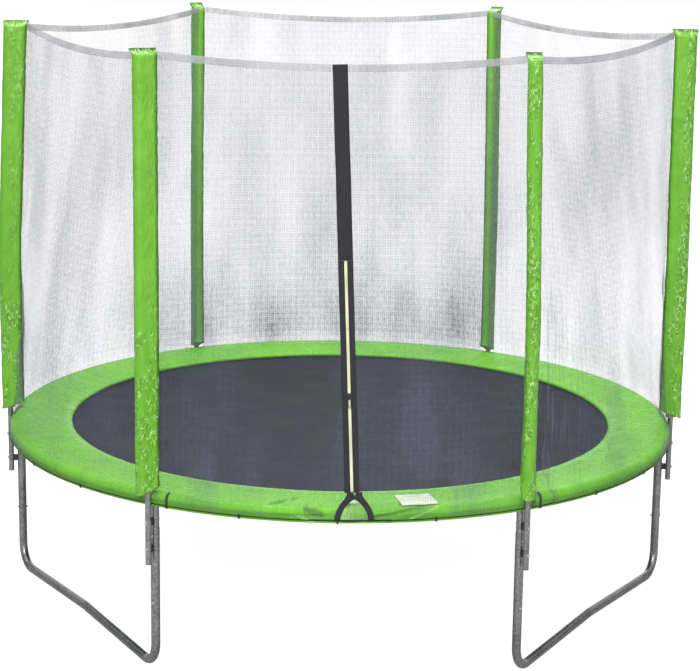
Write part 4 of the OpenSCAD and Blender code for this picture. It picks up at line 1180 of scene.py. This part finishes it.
def straps():
    """Elastic straps over the pad's rim, down the skirt and in under the ring."""
    edge, low = PAD_OUT_R + GAP, SKIRT_BOTTOM - GAP
    shoulder = on_circle(PAD_ROUND + GAP, np.linspace(88, 0, 12))
    rz = list((PAD_OUT_R - PAD_ROUND, PAD_TOP - PAD_ROUND) + shoulder)
    rz += [(edge, z) for z in np.linspace(PAD_TOP - PAD_ROUND - 0.006, SKIRT_BOTTOM + 0.005, 5)]
    rz += [(edge - 0.0012, SKIRT_BOTTOM + 0.0006), (edge - 0.004, low)]
    rz += [(r, low) for r in np.linspace(edge - 0.007, RING_R + TUBE_R / 2, 3)]
    parts = [band_at(deg, rz, flat_section(0.012, 0.0012)) for deg in STRAP_AT]
    obj = joined("pad_elastic_straps", parts, paint=WEBBING)
    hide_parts("pad_straps")


def labels():
    """Two bare sewn-on patches that follow the pad."""
    parts, nx, ny = [], 41, 15
    for deg, width, depth, start in PATCHES:
        far = TOP_IN[0] + start
        xx, yy = np.meshgrid(np.linspace(far, far + depth, ny), np.linspace(-width / 2, width / 2, nx),
                             indexing="ij")
        r = np.hypot(xx, yy)
        a = deg + np.degrees(np.arctan2(yy, xx))
        z = pad_top(r, a) + 0.0012 + 0.0008 * (1 + noise(xx / 0.02, yy / 0.025, 601))
        sheets = [with_z(on_circle(1, a) * r[..., None], z - down).reshape(-1, 3) for down in (0, 0.0006)]
        faces_t, where = grid_faces(ny, nx)
        faces_b, _ = grid_faces(ny, nx, start=nx * ny, flip=True)
        rim = ([i for i in range(nx)] + [j * nx + nx - 1 for j in range(1, ny)]
               + [(ny - 1) * nx + i for i in range(nx - 2, -1, -1)] + [j * nx for j in range(ny - 2, 0, -1)])
        wall = [(a0, a0 + nx * ny, b0 + nx * ny, b0) for a0, b0 in zip(rim, rim[1:] + rim[:1])]
        uv = np.stack([yy[where[:, 0], where[:, 1]], xx[where[:, 0], where[:, 1]]], -1)
        uv = np.concatenate([uv, uv[::-1], np.zeros((4 * len(wall), 2))])
        faces = np.concatenate([faces_t, faces_b])[:, ::-1].tolist() + wall
        parts.append((np.concatenate(sheets), faces, uv))
    obj = joined("bare_patches", parts, paint=PATCH)
    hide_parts("pad_labels")


# ---------- Mat and springs ----------

def mat():
    n = 360
    low = EDGE_TOP - 0.002
    rings = [(0.004, MAT_TOP)] + [(r, MAT_TOP) for r in np.linspace(0.05, 1.2445, 34)]
    rings += [(1.2462, MAT_TOP - 0.0003), (1.2475, EDGE_TOP), (MAT_R - 0.012, EDGE_TOP),
              (MAT_R - 0.0006, EDGE_TOP - 0.0002), (MAT_R, EDGE_TOP - 0.001),
              (MAT_R - 0.0006, EDGE_TOP - 0.0018)]
    rings += [(r, low) for r in (1.28, 1.2, *np.linspace(1.1, 0.004, 12))]
    r, z = np.array(rings).T
    flat_xy = on_circle(r[:, None], np.linspace(0, 360, n, endpoint=False)[None])
    x, y = np.moveaxis(flat_xy, -1, 0)
    wave = 0.0012 * fbm(x / 0.5, y / 0.5, 701, 3) * smooth((1.25 - r[:, None]) / 0.2)
    faces, where = grid_faces(len(r), n, wrap_u=True, flip=True)
    faces = faces.tolist() + [list(range(n)), [(len(r) - 1) * n + i for i in range(n)][::-1]]
    uv = np.concatenate([flat_xy[where[:, 0], where[:, 1] % n], flat_xy[0], flat_xy[-1][::-1]])
    obj = add_mesh("mat_sheet", with_z(flat_xy, z[:, None] + wave), faces, uv, body="mat", paint=MAT_CLOTH)
    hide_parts("jump_mat")
    hem_mid = MAT_R - TAB_LEN - 0.0105
    hem = [ring_band(hem_mid, EDGE_TOP + 0.0001, np.linspace(0, 360, 384, endpoint=False), None, UP,
                     flat_section(0.019, 0.0011, 0.0001), True)]
    for off in (-0.007, 0.007):
        for d in np.arange(0, 360, 0.24):
            line = with_z(on_circle(hem_mid + off, np.array([d, d + 0.05, d + 0.1, d + 0.15])),
                          EDGE_TOP + np.array([0.0009, 0.0015, 0.0015, 0.0009]))
            hem.append(sweep(line, *frames_of(line, UP), round_section(0.0003, 4)))
    ring = joined("mat_sewn_edge", hem, body="mat", paint=WEBBING)
    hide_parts("mat_hem")


def tabs():
    """Webbing folded round each ring's bar and sewn over and under the mat's edge."""
    bar_r, lift = MAT_R + 0.003, 0.002 + GAP
    rz = [(r, EDGE_TOP + 0.0002) for r in np.linspace(MAT_R - TAB_LEN, MAT_R - 0.003, 6)]
    rz += [(bar_r + lift * math.cos(a), SPRING_Z + (0.0013 + lift * 0.45) * math.sin(a))
           for a in np.radians(np.linspace(80, -80, 9))]
    rz += [(r, EDGE_TOP - 0.0022) for r in np.linspace(MAT_R - 0.003, MAT_R - TAB_LEN, 6)]
    parts = [band_at(i * 360 / SPRINGS, rz, flat_section(0.026, 0.0012, steps=4)) for i in range(SPRINGS)]
    obj = joined("mat_webbing_tabs", parts, body="mat", paint=WEBBING)
    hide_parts("mat_tabs")


def springs():
    wire, coil_r, hook_r = 0.0016, 0.0094, 0.0066
    turns, per = 33, 9
    phi = np.linspace(0, 2 * np.pi * turns, turns * per + 1)
    helix = np.stack([np.linspace(HOOK_MAT_R + 0.014, HOOK_OUT_R - 0.014, len(phi)), coil_r * np.sin(phi),
                      coil_r * np.cos(phi)], -1)

    def hook(x, a0, a1):
        a = np.radians(np.linspace(a0, a1, 12))
        return np.stack([x - hook_r * np.cos(a), 0 * a, hook_r * np.sin(a)], -1)

    path = np.concatenate([hook(HOOK_MAT_R + 0.001, -150, 60), helix, hook(HOOK_OUT_R - 0.001, 120, 330)])
    side = np.tile((0, 1.0, 0), (12, 1))
    hint = np.concatenate([side, np.stack([0 * phi, np.sin(phi), np.cos(phi)], -1), side])
    pts, faces, uv = sweep(path, *frames_of(path, hint), round_section(wire, 5))
    for i in range(SPRINGS):
        c, s = on_circle(1, i * 360 / SPRINGS)
        x, y, z = pts.T
        world = np.stack([x * c - y * s, x * s + y * c, z + SPRING_Z], -1)
        obj = joined(f"spring_{i + 1:02d}", [(world, faces, uv)], body=None, paint=ZINC)
        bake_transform(obj)
        if i == 0:
            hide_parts("springs")


look()
poles()
for pole in range(1, POLES + 1):
    sleeve(pole)
net_cloth, top_band = net()
bottom_binding()
ties()
entrance()
zip_loop()
gusset = binding()
pad()
pad_seams()
straps()
labels()
mat()
tabs()
springs()
